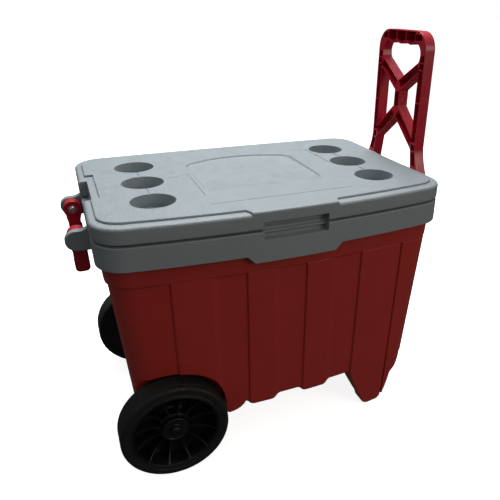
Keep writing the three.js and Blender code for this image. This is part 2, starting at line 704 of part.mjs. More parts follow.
const lid = new THREE.Group();
cooler.add(lid);
place(lid, 'lid_shell', lidShell(), GREY_PLASTIC);
place(lid, 'lid_liner', lidLiner(), WHITE_PLASTIC);
place(lid, 'lid_foam', lidFoam(), FOAM);
place(lid, 'lid_gasket', lidGasket(), RUBBER);

for (const [hand, x] of [['left', -HINGE_X], ['right', HINGE_X]]) {
  place(cooler, `hinge_body_leaf_${hand}`, bodyLeaf(), BLACK_PLASTIC, [x, 0, 0]);
  place(cooler, `hinge_lid_leaf_${hand}`, lidLeaf(), BLACK_PLASTIC, [x, 0, 0]);
  place(cooler, `hinge_pin_${hand}`, hingePin(), STEEL, [x, 0, 0]);
  for (const [index, side] of [-HINGE_SCREW_X, HINGE_SCREW_X].entries()) {
    const number = index + 1;
    const screw = panScrew(3.8, 2.2, 1.8, 9, 8);
    place(cooler, `hinge_body_screw_${hand}_${number}`, screw, STEEL, [x + side, 230.1, LEAF_SCREW_Z]);
    place(cooler, `hinge_lid_screw_${hand}_${number}`, screw, STEEL, [x + side, 219.1, LID_SCREW_Z]);
  }
}

place(cooler, 'tow_handle', towHandle(), RED_GLOSS);
place(cooler, 'carry_bail', carryBail(), RED_GLOSS);

// Each handle turns on two shoulder screws, driven outwards from between its arms into the lugs.
const PIVOTS = [
  { name: 'tow', x: TOW_PIVOT_X, face: LEG_INNER, depth: 39 },
  { name: 'bail', x: BAIL_PIVOT_X, face: BAIL_ARM_INNER, depth: 32 },
];
for (const { name, x, face, depth } of PIVOTS) {
  for (const [hand, side] of [['front', -1], ['rear', 1]]) {
    const rotation = side > 0 ? FACE_FRONT : [0, 0, 0];
    const screw = panScrew(7, 4, 3, depth, 12);
    const washer = ringY(3.4, 8.5, 0, 1.5, 14);
    const back = side * (face - 0.3);
    place(cooler, `${name}_pivot_washer_${hand}`, washer, STEEL, [x, back, PIVOT_Z], rotation);
    const seat = side * (face - 2.1);
    place(cooler, `${name}_pivot_screw_${hand}`, screw, STEEL, [x, seat, PIVOT_Z], rotation);
  }
}

place(cooler, 'axle', barY(AXLE_RADIUS, 0, -219, 219, 0, 20), STEEL, [WHEEL_X, 0, WHEEL_RADIUS]);
for (const [hand, side] of [['front', -1], ['rear', 1]]) {
  const wheel = new THREE.Group();
  wheel.position.set(WHEEL_X, 0, WHEEL_RADIUS);
  wheel.rotation.z = side > 0 ? 0 : Math.PI;
  cooler.add(wheel);
  const inner = WHEEL_OUTER - WHEEL_WIDTH;
  place(wheel, `wheel_rim_${hand}`, wheelRim(), BLACK_PLASTIC, [0, inner, 0]);
  place(wheel, `wheel_tyre_${hand}`, wheelTyre(), RUBBER, [0, inner, 0]);
  place(wheel, `wheel_bush_${hand}`, ringY(6.6, 9.5, 0, HUB_FACE, 14), WHITE_PLASTIC, [0, inner - 1, 0]);
  place(wheel, `axle_washer_${hand}`, ringY(6.6, 14, 0, 2, 14), STEEL, [0, 168.5, 0]);
  place(wheel, `axle_cap_${hand}`, axleCap(), STEEL, [0, 218, 0]);
}

const drain = new THREE.Group();
drain.position.set(0, 0, DRAIN_Z);
drain.rotation.z = -Math.PI / 2;
cooler.add(drain);
place(drain, 'drain_spout', drainSpout(), WHITE_PLASTIC, [0, 253.2, 0]);
place(drain, 'drain_gasket', ringY(12.8, 19.5, 0, 0.6, 16), RUBBER, [0, 256.1, 0]);
place(drain, 'drain_nut', ringY(12.8, 19, 0, 5.5, 16), WHITE_PLASTIC, [0, 306.3, 0]);
place(drain, 'drain_cap', drainCap(), GREY_PLASTIC, [0, 312.3, 0]);
place(drain, 'drain_cap_seal', ringY(4, 11.8, 0, 2.2, 14), RUBBER, [0, 316, 0]);

export default cooler;
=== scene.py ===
"""Wheeled picnic cooler: red tub, grey lid and collar, tow handle, carry bail and wheels.

Laid out as an add-on and run as a script. Pieces are drawn in millimetres, with y counted from the plane
halfway between the wheels, and close_piece() turns each one to metres in the frame of the CAD model.
"""

from math import atan, cos, hypot, pi, radians, sin, tan

import bmesh
import bpy
from mathutils import Matrix, Vector


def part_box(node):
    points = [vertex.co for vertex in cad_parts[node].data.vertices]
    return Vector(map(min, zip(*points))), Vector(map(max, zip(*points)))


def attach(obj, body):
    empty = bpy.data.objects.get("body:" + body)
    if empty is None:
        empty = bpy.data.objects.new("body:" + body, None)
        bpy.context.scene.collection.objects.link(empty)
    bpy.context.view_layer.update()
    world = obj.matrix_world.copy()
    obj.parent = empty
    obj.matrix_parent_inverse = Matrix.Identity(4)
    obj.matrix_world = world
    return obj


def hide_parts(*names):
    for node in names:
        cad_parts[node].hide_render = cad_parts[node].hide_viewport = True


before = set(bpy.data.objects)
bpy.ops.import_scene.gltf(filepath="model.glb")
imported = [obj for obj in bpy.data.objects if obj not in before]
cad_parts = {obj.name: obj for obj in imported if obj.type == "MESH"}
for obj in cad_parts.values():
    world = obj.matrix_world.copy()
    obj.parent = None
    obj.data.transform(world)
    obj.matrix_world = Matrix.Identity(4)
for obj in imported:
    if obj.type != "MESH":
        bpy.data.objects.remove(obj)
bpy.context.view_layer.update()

bl_info = {
    "name": "Wheeled picnic cooler",
    "version": (1, 0, 0),
    "blender": (4, 5, 0),
    "location": "View3D > Sidebar > Cooler",
    "description": "Builds a wheeled picnic cooler piece by piece, with its stage",
    "category": "Object",
}

MILLIMETRES = 1000.0
MID_Y = (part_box("wheel_tyre_front")[0][1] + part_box("wheel_tyre_rear")[1][1]) / 2


def span(node, axis):
    """Where a CAD node starts and ends along an axis, in millimetres."""
    shift = MID_Y if axis == 1 else 0
    return [(corner[axis] - shift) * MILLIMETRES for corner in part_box(node)]


LID_HALF_X = span("lid_shell", 0)[1]
LID_BOTTOM, LID_TOP = span("lid_shell", 2)
LID_HALF_Y = 230.0
COLLAR_TOP = span("trim_collar", 2)[1]
COLLAR_BOTTOM = 441.0
FRONT_BOW = 18.0
BACK_BOW = 4.0
COLLAR_STEP = 0.2
MOUTH_INSET = 26.8
GAP = 0.3
BODY_HALF_X = 320.0
BODY_HALF_Y = 218.0
BODY_TOP = span("outer_shell", 2)[1]
BODY_BOTTOM = 106.0
BAND_BOTTOM = 405.0
PILASTERS = ((-219, -144, 16), (-87, -30, 16), (27, 85, 16), (143, 236, 2.4), (240, 400, 2.4))
CRISP = 2.4
NUB_SOFTNESS = 18.0
WHEEL_RADIUS = span("wheel_tyre_front", 2)[1] / 2
WHEEL_X = sum(span("wheel_tyre_front", 0)) / 2
WHEEL_OUTER = span("wheel_tyre_rear", 1)[1]
WHEEL_WIDTH = WHEEL_OUTER - span("wheel_tyre_rear", 1)[0]
WELL_INNER = 162.0
TOW_X = sum(span("tow_pivot_washer_front", 0)) / 2
BAIL_X = sum(span("bail_pivot_washer_front", 0)) / 2
PIVOT_Z = sum(span("tow_pivot_washer_front", 2)) / 2
TOW_FACE = span("tow_handle", 0)[0]
TOW_TOP = span("tow_handle", 2)[1]
TOW_DEPTH = 23.0
TOW_SIDE = 84.75
RAIL_INNER = 68.0
LEG_OUTER = span("tow_handle", 1)[1]
LEG_INNER = LEG_OUTER - 28.5
DRAIN_Z = sum(span("drain_cap", 2)) / 2
HINGE_Y = 232.0
HINGE_Z = 487.5
HINGE_HALF = 25.0
KNUCKLE_HALF = 10.0
HINGE_X = sum(span("hinge_pin_right", 0)) / 2
NOTCH_HALF = 57.0
NOTCH_DEPTH = 15.0
RECESS_HALF = 60.0
RECESS_BACK = 213.5
RECESS_Z = (468.5, 501.0)
CUP_X = 217.8
CUP_PITCH = 110.1
TUB_FLOOR = 132.0
TUB_HALF = (282, 182)
TUB_CORNER = 45.0
LINER_WALL = 3.0
WELL_STEP = (-112, 150, 236)
LID_WALL = 3.5
DECK_HALF = (315, 211)
DECK_CORNER = 42.0
SEAT_Z = 483.0
AXLE_RADIUS = 6.3
AXLE_BORE = 6.6
BEAM_RADIUS = 17.0
BOLT_BORE = 4.3
DRAIN_BORE = 12.9
DRAIN_BOSS = 24.0
FAR = 400.0


def linear(code):
    """The linear colour of an sRGB hex value."""
    levels = [int(code[i : i + 2], 16) / 255 for i in (1, 3, 5)]
    return [c / 12.92 if c <= 0.04045 else ((c + 0.055) / 1.055) ** 2.4 for c in levels]


# ---- what a user would change -------------------------------------------------------------------


def length(name, description, default):
    """A length that a user may change, kept in metres."""
    return bpy.props.FloatProperty(
        name=name, description=description, default=default, min=0.0, unit="LENGTH", precision=4
    )


def colour(name, description, code):
    """A colour that a user may change."""
    return bpy.props.FloatVectorProperty(
        name=name, description=description, default=linear(code), size=3, min=0, max=1, subtype="COLOR"
    )


class CoolerLidSizes(bpy.types.PropertyGroup):
    corner: length("Corner", "Radius of the lid's corners seen from above", 0.055)
    edge: length("Edge", "Radius of the lid's upper outer edge", 0.006)
    border: length("Border", "How far the border lies below the deck", 0.004)
    cup_radius: length("Cup radius", "Radius of the cup holders", 0.0384)
    cup_depth: length("Cup depth", "Depth of the cup holders", 0.024)
    tray_depth: length("Tray depth", "Depth of the shallow tray at its rear", 0.0052)


class CoolerBodySizes(bpy.types.PropertyGroup):
    corner: length("Corner", "Radius of the tub's corners seen from above", 0.05)
    relief: length("Relief", "How far the pilasters stand out of the tub's sides", 0.004)
    wall: length("Wall", "Thickness of the outer wall", 0.0035)
    nub: length("Nub", "How far each pilaster reaches below the tub", 0.009)
    end_draft: bpy.props.FloatProperty(
        name="End draft", description="Slope of the tub's ends", default=radians(3.3), subtype="ANGLE"
    )
    side_draft: bpy.props.FloatProperty(
        name="Side draft", description="Slope of its long sides", default=radians(2.2), subtype="ANGLE"
    )


class CoolerHandleSizes(bpy.types.PropertyGroup):
    rim: length("Rim", "Thickness of the channel's walls", 0.0019)
    channel: length("Channel", "Depth of the channel in the tow handle", 0.0205)
    bail_round: length("Bail round", "Radius of the carry bail's edges", 0.003)


class CoolerWheelSizes(bpy.types.PropertyGroup):
    rim_radius: length("Rim radius", "Radius of the rim under the tyre", 0.082)
    hub_radius: length("Hub radius", "Radius of the hub's raised disc", 0.0255)
    spokes: bpy.props.IntProperty(
        name="Spokes", description="Number of thin spokes in each wheel", default=12, min=3, max=24
    )
    dish: length("Dish", "How deep the spokes' outer edges are hollowed", 0.009)


class CoolerColours(bpy.types.PropertyGroup):
    lid: colour("Lid", "Lid, collar and drain cap", "#8e9698")
    body: colour("Body", "Outer tub", "#ad3028")
    handle: colour("Handles", "Tow handle and carry bail", "#b5142a")
    wheel: colour("Wheels", "Rims of the wheels", "#0b0b0c")
    tyre: colour("Tyres", "Tyres", "#0f0e0d")
    liner: colour("Liner", "Inner tub and the lid's underside", "#e6e7e2")
    foam: colour("Foam", "Insulating foam", "#dccf9c")


GROUPS = {
    "cooler_lid": CoolerLidSizes,
    "cooler_body": CoolerBodySizes,
    "cooler_handle": CoolerHandleSizes,
    "cooler_wheel": CoolerWheelSizes,
    "cooler_colours": CoolerColours,
}


class Sizes:
    """One property group's lengths in millimetres."""

    def __init__(self, group):
        self.group = getattr(bpy.context.scene, group)

    def __getattr__(self, name):
        return getattr(self.group, name) * MILLIMETRES


# ---- solids -------------------------------------------------------------------------------------


def new_verts(geometry):
    return [item for item in geometry if isinstance(item, bmesh.types.BMVert)]


def prism(points, along):
    """A solid with a flat outline, pushed along a vector."""
    bm = bmesh.new()
    face = bm.faces.new([bm.verts.new(point) for point in points])
    pushed = bmesh.ops.extrude_face_region(bm, geom=[face])["geom"]
    bmesh.ops.translate(bm, vec=along, verts=new_verts(pushed))
    bmesh.ops.recalc_face_normals(bm, faces=bm.faces)
    return bm


def plan(points, z0, z1):
    """A plate drawn from above."""
    return prism([(x, y, z0) for x, y in points], (0, 0, z1 - z0))


def side_plate(points, y0, y1):
    """A plate drawn from the front, in x and z."""
    return prism([(x, y0, z) for x, z in points], (0, y1 - y0, 0))


def end_plate(points, x0, x1):
    """A plate drawn from the end, in y and z."""
    return prism([(x0, y, z) for y, z in points], (x1 - x0, 0, 0))


def block(low, high):
    bm = bmesh.new()
    size = Vector(high) - Vector(low)
    middle = (Vector(high) + Vector(low)) / 2
    bmesh.ops.create_cube(bm, size=1, matrix=Matrix.Translation(middle) @ Matrix.Diagonal((*size, 1)))
    return bm


AXES = {
    "X": Matrix.Rotation(pi / 2, 4, "Y"),
    "Y": Matrix.Rotation(-pi / 2, 4, "X"),
    "Z": Matrix.Identity(4),
}


def rod(axis, radius, centre, low, high, segments=48):
    """A round bar along an axis. centre gives the two other coordinates in order."""
    place = list(centre)
    place.insert("XYZ".index(axis), (low + high) / 2)
    bm = bmesh.new()
    bmesh.ops.create_cone(
        bm,
        cap_ends=True,
        segments=segments,
        radius1=radius,
        radius2=radius,
        depth=high - low,
        matrix=Matrix.Translation(place) @ AXES[axis],
    )
    return bm


def turned(profile, axis, centre, steps=64, closed=False):
    """A profile of radius and height, turned about an axis through centre. Height runs along the axis."""
    bm = bmesh.new()
    verts = [bm.verts.new((radius, 0, height)) for radius, height in profile]
    edges = [bm.edges.new(pair) for pair in zip(verts, verts[1:])]
    if closed:
        edges.append(bm.edges.new((verts[-1], verts[0])))
    bmesh.ops.spin(
        bm, geom=verts + edges, cent=(0, 0, 0), axis=(0, 0, 1), angle=2 * pi, steps=steps, use_merge=True
    )
    bmesh.ops.remove_doubles(bm, verts=bm.verts, dist=0.001)
    bmesh.ops.delete(bm, geom=[edge for edge in bm.edges if not edge.link_faces], context="EDGES")
    bmesh.ops.recalc_face_normals(bm, faces=bm.faces)
    bmesh.ops.transform(bm, matrix=Matrix.Translation(centre) @ AXES[axis], verts=bm.verts)
    return bm


def loft(rings, closed=False):
    """A skin through rings that all have the same number of points. Its ends are filled, or joined to
    each other where closed is set."""
    bm = bmesh.new()
    station = bm.verts.layers.int.new("station")
    ring = [bm.verts.new(point) for point in rings[0]]
    for index, vert in enumerate(ring):
        vert[station] = index
    first = [bm.edges.new((vert, ring[index - 1])) for index, vert in enumerate(ring)]
    edges = first
    for points in rings[1:]:
        grown = bmesh.ops.extrude_edge_only(bm, edges=edges)["geom"]
        fresh = set(new_verts(grown))
        for vert in fresh:
            vert.co = points[vert[station]]
        edges = [e for e in grown if isinstance(e, bmesh.types.BMEdge) and fresh.issuperset(e.verts)]
    if closed:
        bmesh.ops.bridge_loops(bm, edges=first + edges)
    else:
        for end in (first, edges):
            bmesh.ops.edgeloop_fill(bm, edges=end)
    bm.verts.layers.int.remove(bm.verts.layers.int["station"])
    bmesh.ops.recalc_face_normals(bm, faces=bm.faces)
    return bm


def combine(bm, tool, operation):
    """The result of a Boolean. Both solids are used up."""
    objects = []
    whole = all(edge.is_manifold for solid in (bm, tool) for edge in solid.edges)
    solver = "MANIFOLD" if whole else "EXACT"
    for solid in (bm, tool):
        mesh = bpy.data.meshes.new("solid")
        solid.to_mesh(mesh)
        solid.free()
        objects.append(bpy.data.objects.new("solid", mesh))
        bpy.context.scene.collection.objects.link(objects[-1])
    modifier = objects[0].modifiers.new("Boolean", "BOOLEAN")
    modifier.operation = operation
    modifier.solver = solver
    modifier.use_self = solver == "EXACT"
    modifier.object = objects[1]
    graph = bpy.context.evaluated_depsgraph_get()
    result = bmesh.new()
    result.from_mesh(objects[0].evaluated_get(graph).to_mesh())
    for obj in objects:
        mesh = obj.data
        bpy.data.objects.remove(obj)
        bpy.data.meshes.remove(mesh)
    if not result.faces:
        raise RuntimeError(f"{operation} left nothing")
    return result


def cut(bm, *tools):
    for tool in tools:
        bm = combine(bm, tool, "DIFFERENCE")
    return bm


def join(bm, *tools):
    for tool in tools:
        bm = combine(bm, tool, "UNION")
    return bm


def limit(bm, tool):
    return combine(bm, tool, "INTERSECT")


def always(point):
    return True


def soften(bm, width, segments=3, where=always, angle=35):
    """Rounds every edge sharper than angle whose middle lies where the test says."""
    sharp = [
        edge
        for edge in bm.edges
        if edge.is_manifold
        and edge.calc_face_angle(0) > radians(angle)
        and where((edge.verts[0].co + edge.verts[1].co) / 2)
    ]
    bmesh.ops.bevel(
        bm,
        geom=sharp,
        offset=width,
        offset_type="OFFSET",
        segments=segments,
        profile=0.5,
        affect="EDGES",
        clamp_overlap=False,
        material=-1,
        miter_outer="ARC",
        miter_inner="ARC",
    )
    bmesh.ops.remove_doubles(bm, verts=bm.verts, dist=0.01)
    return bm


def gather(*solids):
    """Solids that stand apart, in one mesh."""
    whole = bmesh.new()
    for solid in solids:
        mesh = bpy.data.meshes.new("solid")
        solid.to_mesh(mesh)
        solid.free()
        whole.from_mesh(mesh)
        bpy.data.meshes.remove(mesh)
    return whole


def close_piece(bm, name, material, body, nodes, bevel=0.0):
    """Ends a piece: metres, the CAD model's place, smooth shading, its material and its body, and hides the
    CAD nodes it replaces.
    """
    if bevel:
        soften(bm, bevel, 2)
    many_sided = [face for face in bm.faces if len(face.verts) > 4]
    bmesh.ops.triangulate(bm, faces=many_sided, quad_method="BEAUTY", ngon_method="BEAUTY")
    bmesh.ops.translate(bm, vec=(0, MID_Y * MILLIMETRES, 0), verts=bm.verts)
    bmesh.ops.scale(bm, vec=[1 / MILLIMETRES] * 3, verts=bm.verts)
    mesh = bpy.data.meshes.new(name)
    bm.to_mesh(mesh)
    bm.free()
    mesh.polygons.foreach_set("use_smooth", [True] * len(mesh.polygons))
    mesh.set_sharp_from_angle(angle=radians(38))
    mesh.materials.append(material)
    piece = bpy.data.objects.new(name, mesh)
    bpy.context.scene.collection.objects.link(piece)
    shading = piece.modifiers.new("Weighted Normal", "WEIGHTED_NORMAL")
    shading.weight = 70
    shading.keep_sharp = True
    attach(piece, body)
    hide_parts(*nodes)
    return piece


# ---- outlines -----------------------------------------------------------------------------------

CORNER_STEPS = 12
PLAIN_STATIONS = tuple(range(-240, 241, 30))


def half_outline(half_x, half_y, radius, bow, stations):
    """The back half of a rounded rectangle whose long side bows outwards by bow at its middle."""
    reach = half_x - radius
    slope = atan(2 * bow / reach)
    end_x = reach + radius * sin(slope)
    fall = tan(slope) / (2 * end_x)
    centre_y = half_y - fall * end_x**2 - radius * cos(slope)
    turns = [(pi / 2 - slope) * step / CORNER_STEPS for step in range(CORNER_STEPS + 1)]
    arc = [(reach + radius * cos(turn), centre_y + radius * sin(turn)) for turn in turns]
    long_side = [(x, half_y - fall * x * x) for x in stations if abs(x) < reach - 2]
    return arc + long_side + [(-x, y) for x, y in reversed(arc)]


def bowed(half_x, half_y, radius, bows=(FRONT_BOW, BACK_BOW), stations=PLAIN_STATIONS):
    """A rounded rectangle with bowed long sides, anticlockwise from its right end."""
    back = half_outline(half_x, half_y, radius, bows[1], stations[::-1])
    front = half_outline(half_x, half_y, radius, bows[0], [-x for x in stations])
    return back + [(-x, -y) for x, y in front]


def level(outline, z):
    """An outline as a ring of points at one height, or at the height z(x, y) gives."""
    return [(x, y, z(x, y) if callable(z) else z) for x, y in outline]


def lid_outline(inset, stations=PLAIN_STATIONS):
    corner = Sizes("cooler_lid").corner
    return bowed(LID_HALF_X - inset, LID_HALF_Y - inset, corner - inset, stations=stations)


def body_outline(z, inset, stations=PLAIN_STATIONS):
    group = bpy.context.scene.cooler_body
    below = COLLAR_BOTTOM - z
    half_x = BODY_HALF_X - below * tan(group.end_draft) - inset
    half_y = BODY_HALF_Y - below * tan(group.side_draft) - inset
    return bowed(half_x, half_y, Sizes("cooler_body").corner - inset, stations=stations)


def tub_outline(z, inset):
    narrowing = (COLLAR_TOP - z) * tan(bpy.context.scene.cooler_body.end_draft)
    half_x, half_y = (half - narrowing - inset for half in TUB_HALF)
    return bowed(half_x, half_y, TUB_CORNER - inset, bows=(FRONT_BOW / 2, BACK_BOW))


def tub_solid(inset, z0, z1, floor_round):
    """The room of the tub, its floor rounded into its walls."""
    turns = [pi / 2 * step / 6 for step in range(7)]
    rings = [
        level(tub_outline(z0, inset + floor_round * (1 - sin(turn))), z0 + floor_round * (1 - cos(turn)))
        for turn in turns
    ]
    return loft(rings + [level(tub_outline(z1, inset), z1)])


def quarter_turn(radius, steps=5):
    """Pairs of how far in and how far up each step round an outer edge lies."""
    turns = [pi / 2 * step / steps for step in range(steps + 1)]
    return [(radius * (1 - cos(turn)), radius * sin(turn)) for turn in turns]


def smoothstep(value):
    value = min(max(value, 0.0), 1.0)
    return value * value * (3 - 2 * value)


# ---- materials ----------------------------------------------------------------------------------


def add(tree, kind, inputs, **settings):
    """One node with its settings, and its inputs as values or links."""
    node = tree.nodes.new(kind)
    for name, value in settings.items():
        setattr(node, name, value)
    for name, value in inputs.items():
        if isinstance(value, bpy.types.NodeSocket):
            tree.links.new(value, node.inputs[name])
        else:
            node.inputs[name].default_value = value
    return node


def start_material(name):
    material = bpy.data.materials.new(name)
    material.use_nodes = True
    tree = material.node_tree
    tree.nodes.clear()
    shader = add(tree, "ShaderNodeBsdfPrincipled", {})
    output = add(tree, "ShaderNodeOutputMaterial", {"Surface": shader.outputs["BSDF"]})
    output.location = (300, 0)
    coordinates = add(tree, "ShaderNodeTexCoord", {}).outputs["Object"]
    return material, tree, shader, coordinates


def noise(tree, coordinates, size_mm, detail=3.0, roughness=0.55, distortion=0.0):
    """Noise whose blotches are about size_mm across."""
    inputs = {
        "Vector": coordinates,
        "Scale": MILLIMETRES / size_mm,
        "Detail": detail,
        "Roughness": roughness,
        "Distortion": distortion,
    }
    return add(tree, "ShaderNodeTexNoise", inputs).outputs["Fac"]


def shade(base, factor):
    return [min(channel * factor, 1.0) for channel in base] + [1.0]


def moulded(name, base, rough, grain, depth, mottle=0.06, cloud=70.0, coat=0.0, ior=1.49):
    """A moulded plastic: clouded colour, uneven gloss and the tool's grain as bump.
    rough is the lowest and highest roughness, grain and cloud are in millimetres, depth is the bump's."""
    material, tree, shader, coordinates = start_material(name)
    clouds = noise(tree, coordinates, cloud, detail=4)
    tint = add(
        tree,
        "ShaderNodeMix",
        {"Factor": clouds, "A": shade(base, 1 - mottle), "B": shade(base, 1 + mottle)},
        data_type="RGBA",
    )
    tree.links.new(tint.outputs["Result"], shader.inputs["Base Color"])
    smears = noise(tree, coordinates, 26.0, detail=5, distortion=0.6)
    gloss = add(
        tree,
        "ShaderNodeMapRange",
        {"Value": smears, "From Min": 0.35, "From Max": 0.65, "To Min": rough[0], "To Max": rough[1]},
    )
    tree.links.new(gloss.outputs["Result"], shader.inputs["Roughness"])
    pebble = noise(tree, coordinates, grain, detail=2, roughness=0.7)
    bump = add(
        tree,
        "ShaderNodeBump",
        {"Height": pebble, "Strength": 0.8, "Distance": depth / MILLIMETRES},
    )
    sink = noise(tree, coordinates, 120.0, detail=1)
    wave = add(
        tree,
        "ShaderNodeBump",
        {"Height": sink, "Strength": 0.5, "Distance": 0.0012, "Normal": bump.outputs["Normal"]},
    )
    tree.links.new(wave.outputs["Normal"], shader.inputs["Normal"])
    shader.inputs["IOR"].default_value = ior
    shader.inputs["Coat Weight"].default_value = coat
    shader.inputs["Coat Roughness"].default_value = 0.25
    return material


def brushed_steel(name, base, rough, line_mm):
    """Zinc-plated or blackened steel with fine turning lines."""
    material, tree, shader, coordinates = start_material(name)
    stretched = add(tree, "ShaderNodeMapping", {"Vector": coordinates, "Scale": (1.0, 12.0, 1.0)})
    lines = noise(tree, stretched.outputs["Vector"], line_mm, detail=3)
    tint = add(
        tree,
        "ShaderNodeMix",
        {"Factor": lines, "A": shade(base, 0.86), "B": shade(base, 1.1)},
        data_type="RGBA",
    )
    tree.links.new(tint.outputs["Result"], shader.inputs["Base Color"])
    gloss = add(
        tree, "ShaderNodeMapRange", {"Value": lines, "To Min": rough[0], "To Max": rough[1]}
    )
    tree.links.new(gloss.outputs["Result"], shader.inputs["Roughness"])
    bump = add(tree, "ShaderNodeBump", {"Height": lines, "Strength": 0.3, "Distance": 0.0001})
    tree.links.new(bump.outputs["Normal"], shader.inputs["Normal"])
    shader.inputs["Metallic"].default_value = 1.0
    return material


def make_materials():
    """Every finish of the cooler, under the name of its slot in the record."""
    paint = bpy.context.scene.cooler_colours
    steel, blackened, seal, hinge = (linear(c) for c in ("#c4c6c8", "#3a3836", "#1c1d1d", "#232425"))
    return {
        # Polypropylene moulded in a stippled tool: pale grey, half matt, speckled where light grazes it.
        # The real grain is about 0.7 mm, drawn at 2 mm so that it shows.
        "grey_plastic": moulded("stippled_polypropylene_grey", paint.lid, (0.34, 0.5), 2.3, 1.3, 0.04),
        # Blow-moulded polyethylene: a deep even red with a soft satin sheen and slight sink waves.
        "red_body": moulded("satin_polyethylene_red", paint.body, (0.36, 0.5), 3.0, 0.08, 0.07, coat=0.05),
        # Glass-filled nylon with a glossier skin: brighter red, sharp highlights on its thin rims.
        "red_handle": moulded("glossy_nylon_red", paint.handle, (0.26, 0.4), 1.5, 0.05, 0.08, coat=0.15),
        # Smooth food-grade polypropylene: near white and slightly glossy.
        "white_liner": moulded("smooth_polypropylene_white", paint.liner, (0.28, 0.42), 4.0, 0.05, 0.02),
        # Poured polyurethane foam: dull yellow with open cells.
        "foam": moulded("polyurethane_foam", paint.foam, (0.9, 1.0), 3.0, 1.2, 0.12, cloud=18.0),
        # Moulded acetal hinges: black, satin.
        "hinge_plastic": moulded("acetal_black", hinge, (0.35, 0.5), 1.5, 0.06, 0.1),
        # Soft sealing rubber: dull black.
        "seal_rubber": moulded("nitrile_rubber_black", seal, (0.6, 0.75), 2.0, 0.1, 0.1),
        # Hard tyre rubber: brownish black, dull, finely scuffed.
        "tyre": moulded("tyre_rubber", paint.tyre, (0.55, 0.8), 2.5, 0.25, 0.25, cloud=30.0),
        # Moulded polypropylene wheel centres: deep black, half gloss.
        "wheel_plastic": moulded("moulded_polypropylene_black", paint.wheel, (0.32, 0.5), 2.0, 0.1, 0.15),
        # Blackened push-on caps: dark steel with a worn shine.
        "black_steel": brushed_steel("blackened_steel", blackened, (0.35, 0.5), 3.0),
        # Zinc-plated steel: bright and slightly streaked.
        "steel": brushed_steel("zinc_plated_steel", steel, (0.22, 0.36), 2.0),
    }


def finish_of(slot):
    """The material of a slot, made with the others the first time one is asked for."""
    if not MATERIALS:
        MATERIALS.update(make_materials())
    return MATERIALS[slot]


MATERIALS = {}


# ---- the stage ----------------------------------------------------------------------------------


def area_light(name, energy, size, location, target, tint="#ffffff"):
    light = bpy.data.lights.new(name, "AREA")
    light.energy = energy
    light.shape = "DISK"
    light.size = size
    light.color = linear(tint)
    lamp = bpy.data.objects.new(name, light)
    lamp.location = location
    lamp.rotation_euler = (Vector(target) - Vector(location)).to_track_quat("-Z", "Y").to_euler()
    bpy.context.scene.collection.objects.link(lamp)


class COOLER_OT_stage(bpy.types.Operator):
    """Adds the floor, the lights, the sky and the camera."""

    bl_idname = "cooler.stage"
    bl_label = "Stage"

    def execute(self, context):
        scene = context.scene
        scene.view_settings.view_transform = "Standard"
        bm = bmesh.new()
        bmesh.ops.create_grid(bm, x_segments=2, y_segments=2, size=30)
        mesh = bpy.data.meshes.new("floor")
        bm.to_mesh(mesh)
        bm.free()
        floor = bpy.data.objects.new("floor", mesh)
        floor.visible_diffuse = False
        floor.visible_glossy = False
        scene.collection.objects.link(floor)
        pale = moulded("painted_floor", linear("#efefed"), (0.85, 0.95), 40.0, 0.02, 0.01, cloud=900.0)
        glow = pale.node_tree.nodes["Principled BSDF"].inputs
        glow["Emission Color"].default_value = (1, 1, 1, 1)
        glow["Emission Strength"].default_value = 0.85
        mesh.materials.append(pale)

        world = bpy.data.worlds.new("studio")
        world.use_nodes = True
        tree = world.node_tree
        tree.nodes.clear()
        direction = add(tree, "ShaderNodeTexCoord", {}).outputs["Generated"]
        height = add(tree, "ShaderNodeSeparateXYZ", {"Vector": direction}).outputs["Z"]
        sky = add(
            tree,
            "ShaderNodeMapRange",
            {"Value": height, "From Min": 0.0, "From Max": 1.0, "To Min": 0.06, "To Max": 0.6},
        )
        soft = add(tree, "ShaderNodeBackground", {"Strength": sky.outputs["Result"]})
        backdrop = add(tree, "ShaderNodeBackground", {"Strength": 1.0, "Color": (1, 1, 1, 1)})
        seen = add(tree, "ShaderNodeLightPath", {}).outputs["Is Camera Ray"]
        mixed = add(tree, "ShaderNodeMixShader", {0: seen, 1: soft.outputs[0], 2: backdrop.outputs[0]})
        add(tree, "ShaderNodeOutputWorld", {"Surface": mixed.outputs[0]})
        scene.world = world

        target = (0, 0, 0.35)
        area_light("overhead_softbox", 78, 1.8, (0.3, 0.9, 2.5), target, "#f4f9ff")
        area_light("front_fill", 18, 1.6, (1.7, -2.6, 1.5), target, "#fff4ea")

        camera = bpy.data.cameras.new("camera")
        camera.lens = 37.9
        camera.sensor_width = 36
        camera.shift_x = -0.105
        camera.shift_y = 0.048
        view = bpy.data.objects.new("camera", camera)
        azimuth, elevation, roll = 0.428, 0.475, 0.019
        turn = Matrix.Rotation(-azimuth, 4, "Z") @ Matrix.Rotation(pi / 2 - elevation, 4, "X")
        view.matrix_world = (
            Matrix.Translation((-0.3376, -0.9923 + MID_Y, 0.8232)) @ turn @ Matrix.Rotation(roll, 4, "Z")
        )
        scene.collection.objects.link(view)
        scene.camera = view
        return {"FINISHED"}


# ---- the body -----------------------------------------------------------------------------------


def wheel_wells(grow):
    """Both wheel wells, grown by a wall: an arch over each wheel, open below and outwards."""
    arch = [(-134, 0), (-134, 60)] + curve((-134, 100), (-133, 165), (-165, 190))
    arch += curve((-165, 190), (-190, 210), (-232, 211))[1:]
    arch += curve((-232, 211), (-290, 211), (-360, 170))[1:]
    grown = []
    for x, z in arch:
        away = Vector((x - WHEEL_X, z - WHEEL_RADIUS)).normalized() * grow
        grown.append((x + away.x, z + away.y))
    outline = [(grown[0][0], -50)] + grown[1:] + [(-FAR, 160), (-FAR, -50)]
    return [side_plate(outline, *sorted((side * (WELL_INNER - grow), side * 300))) for side in (-1, 1)]


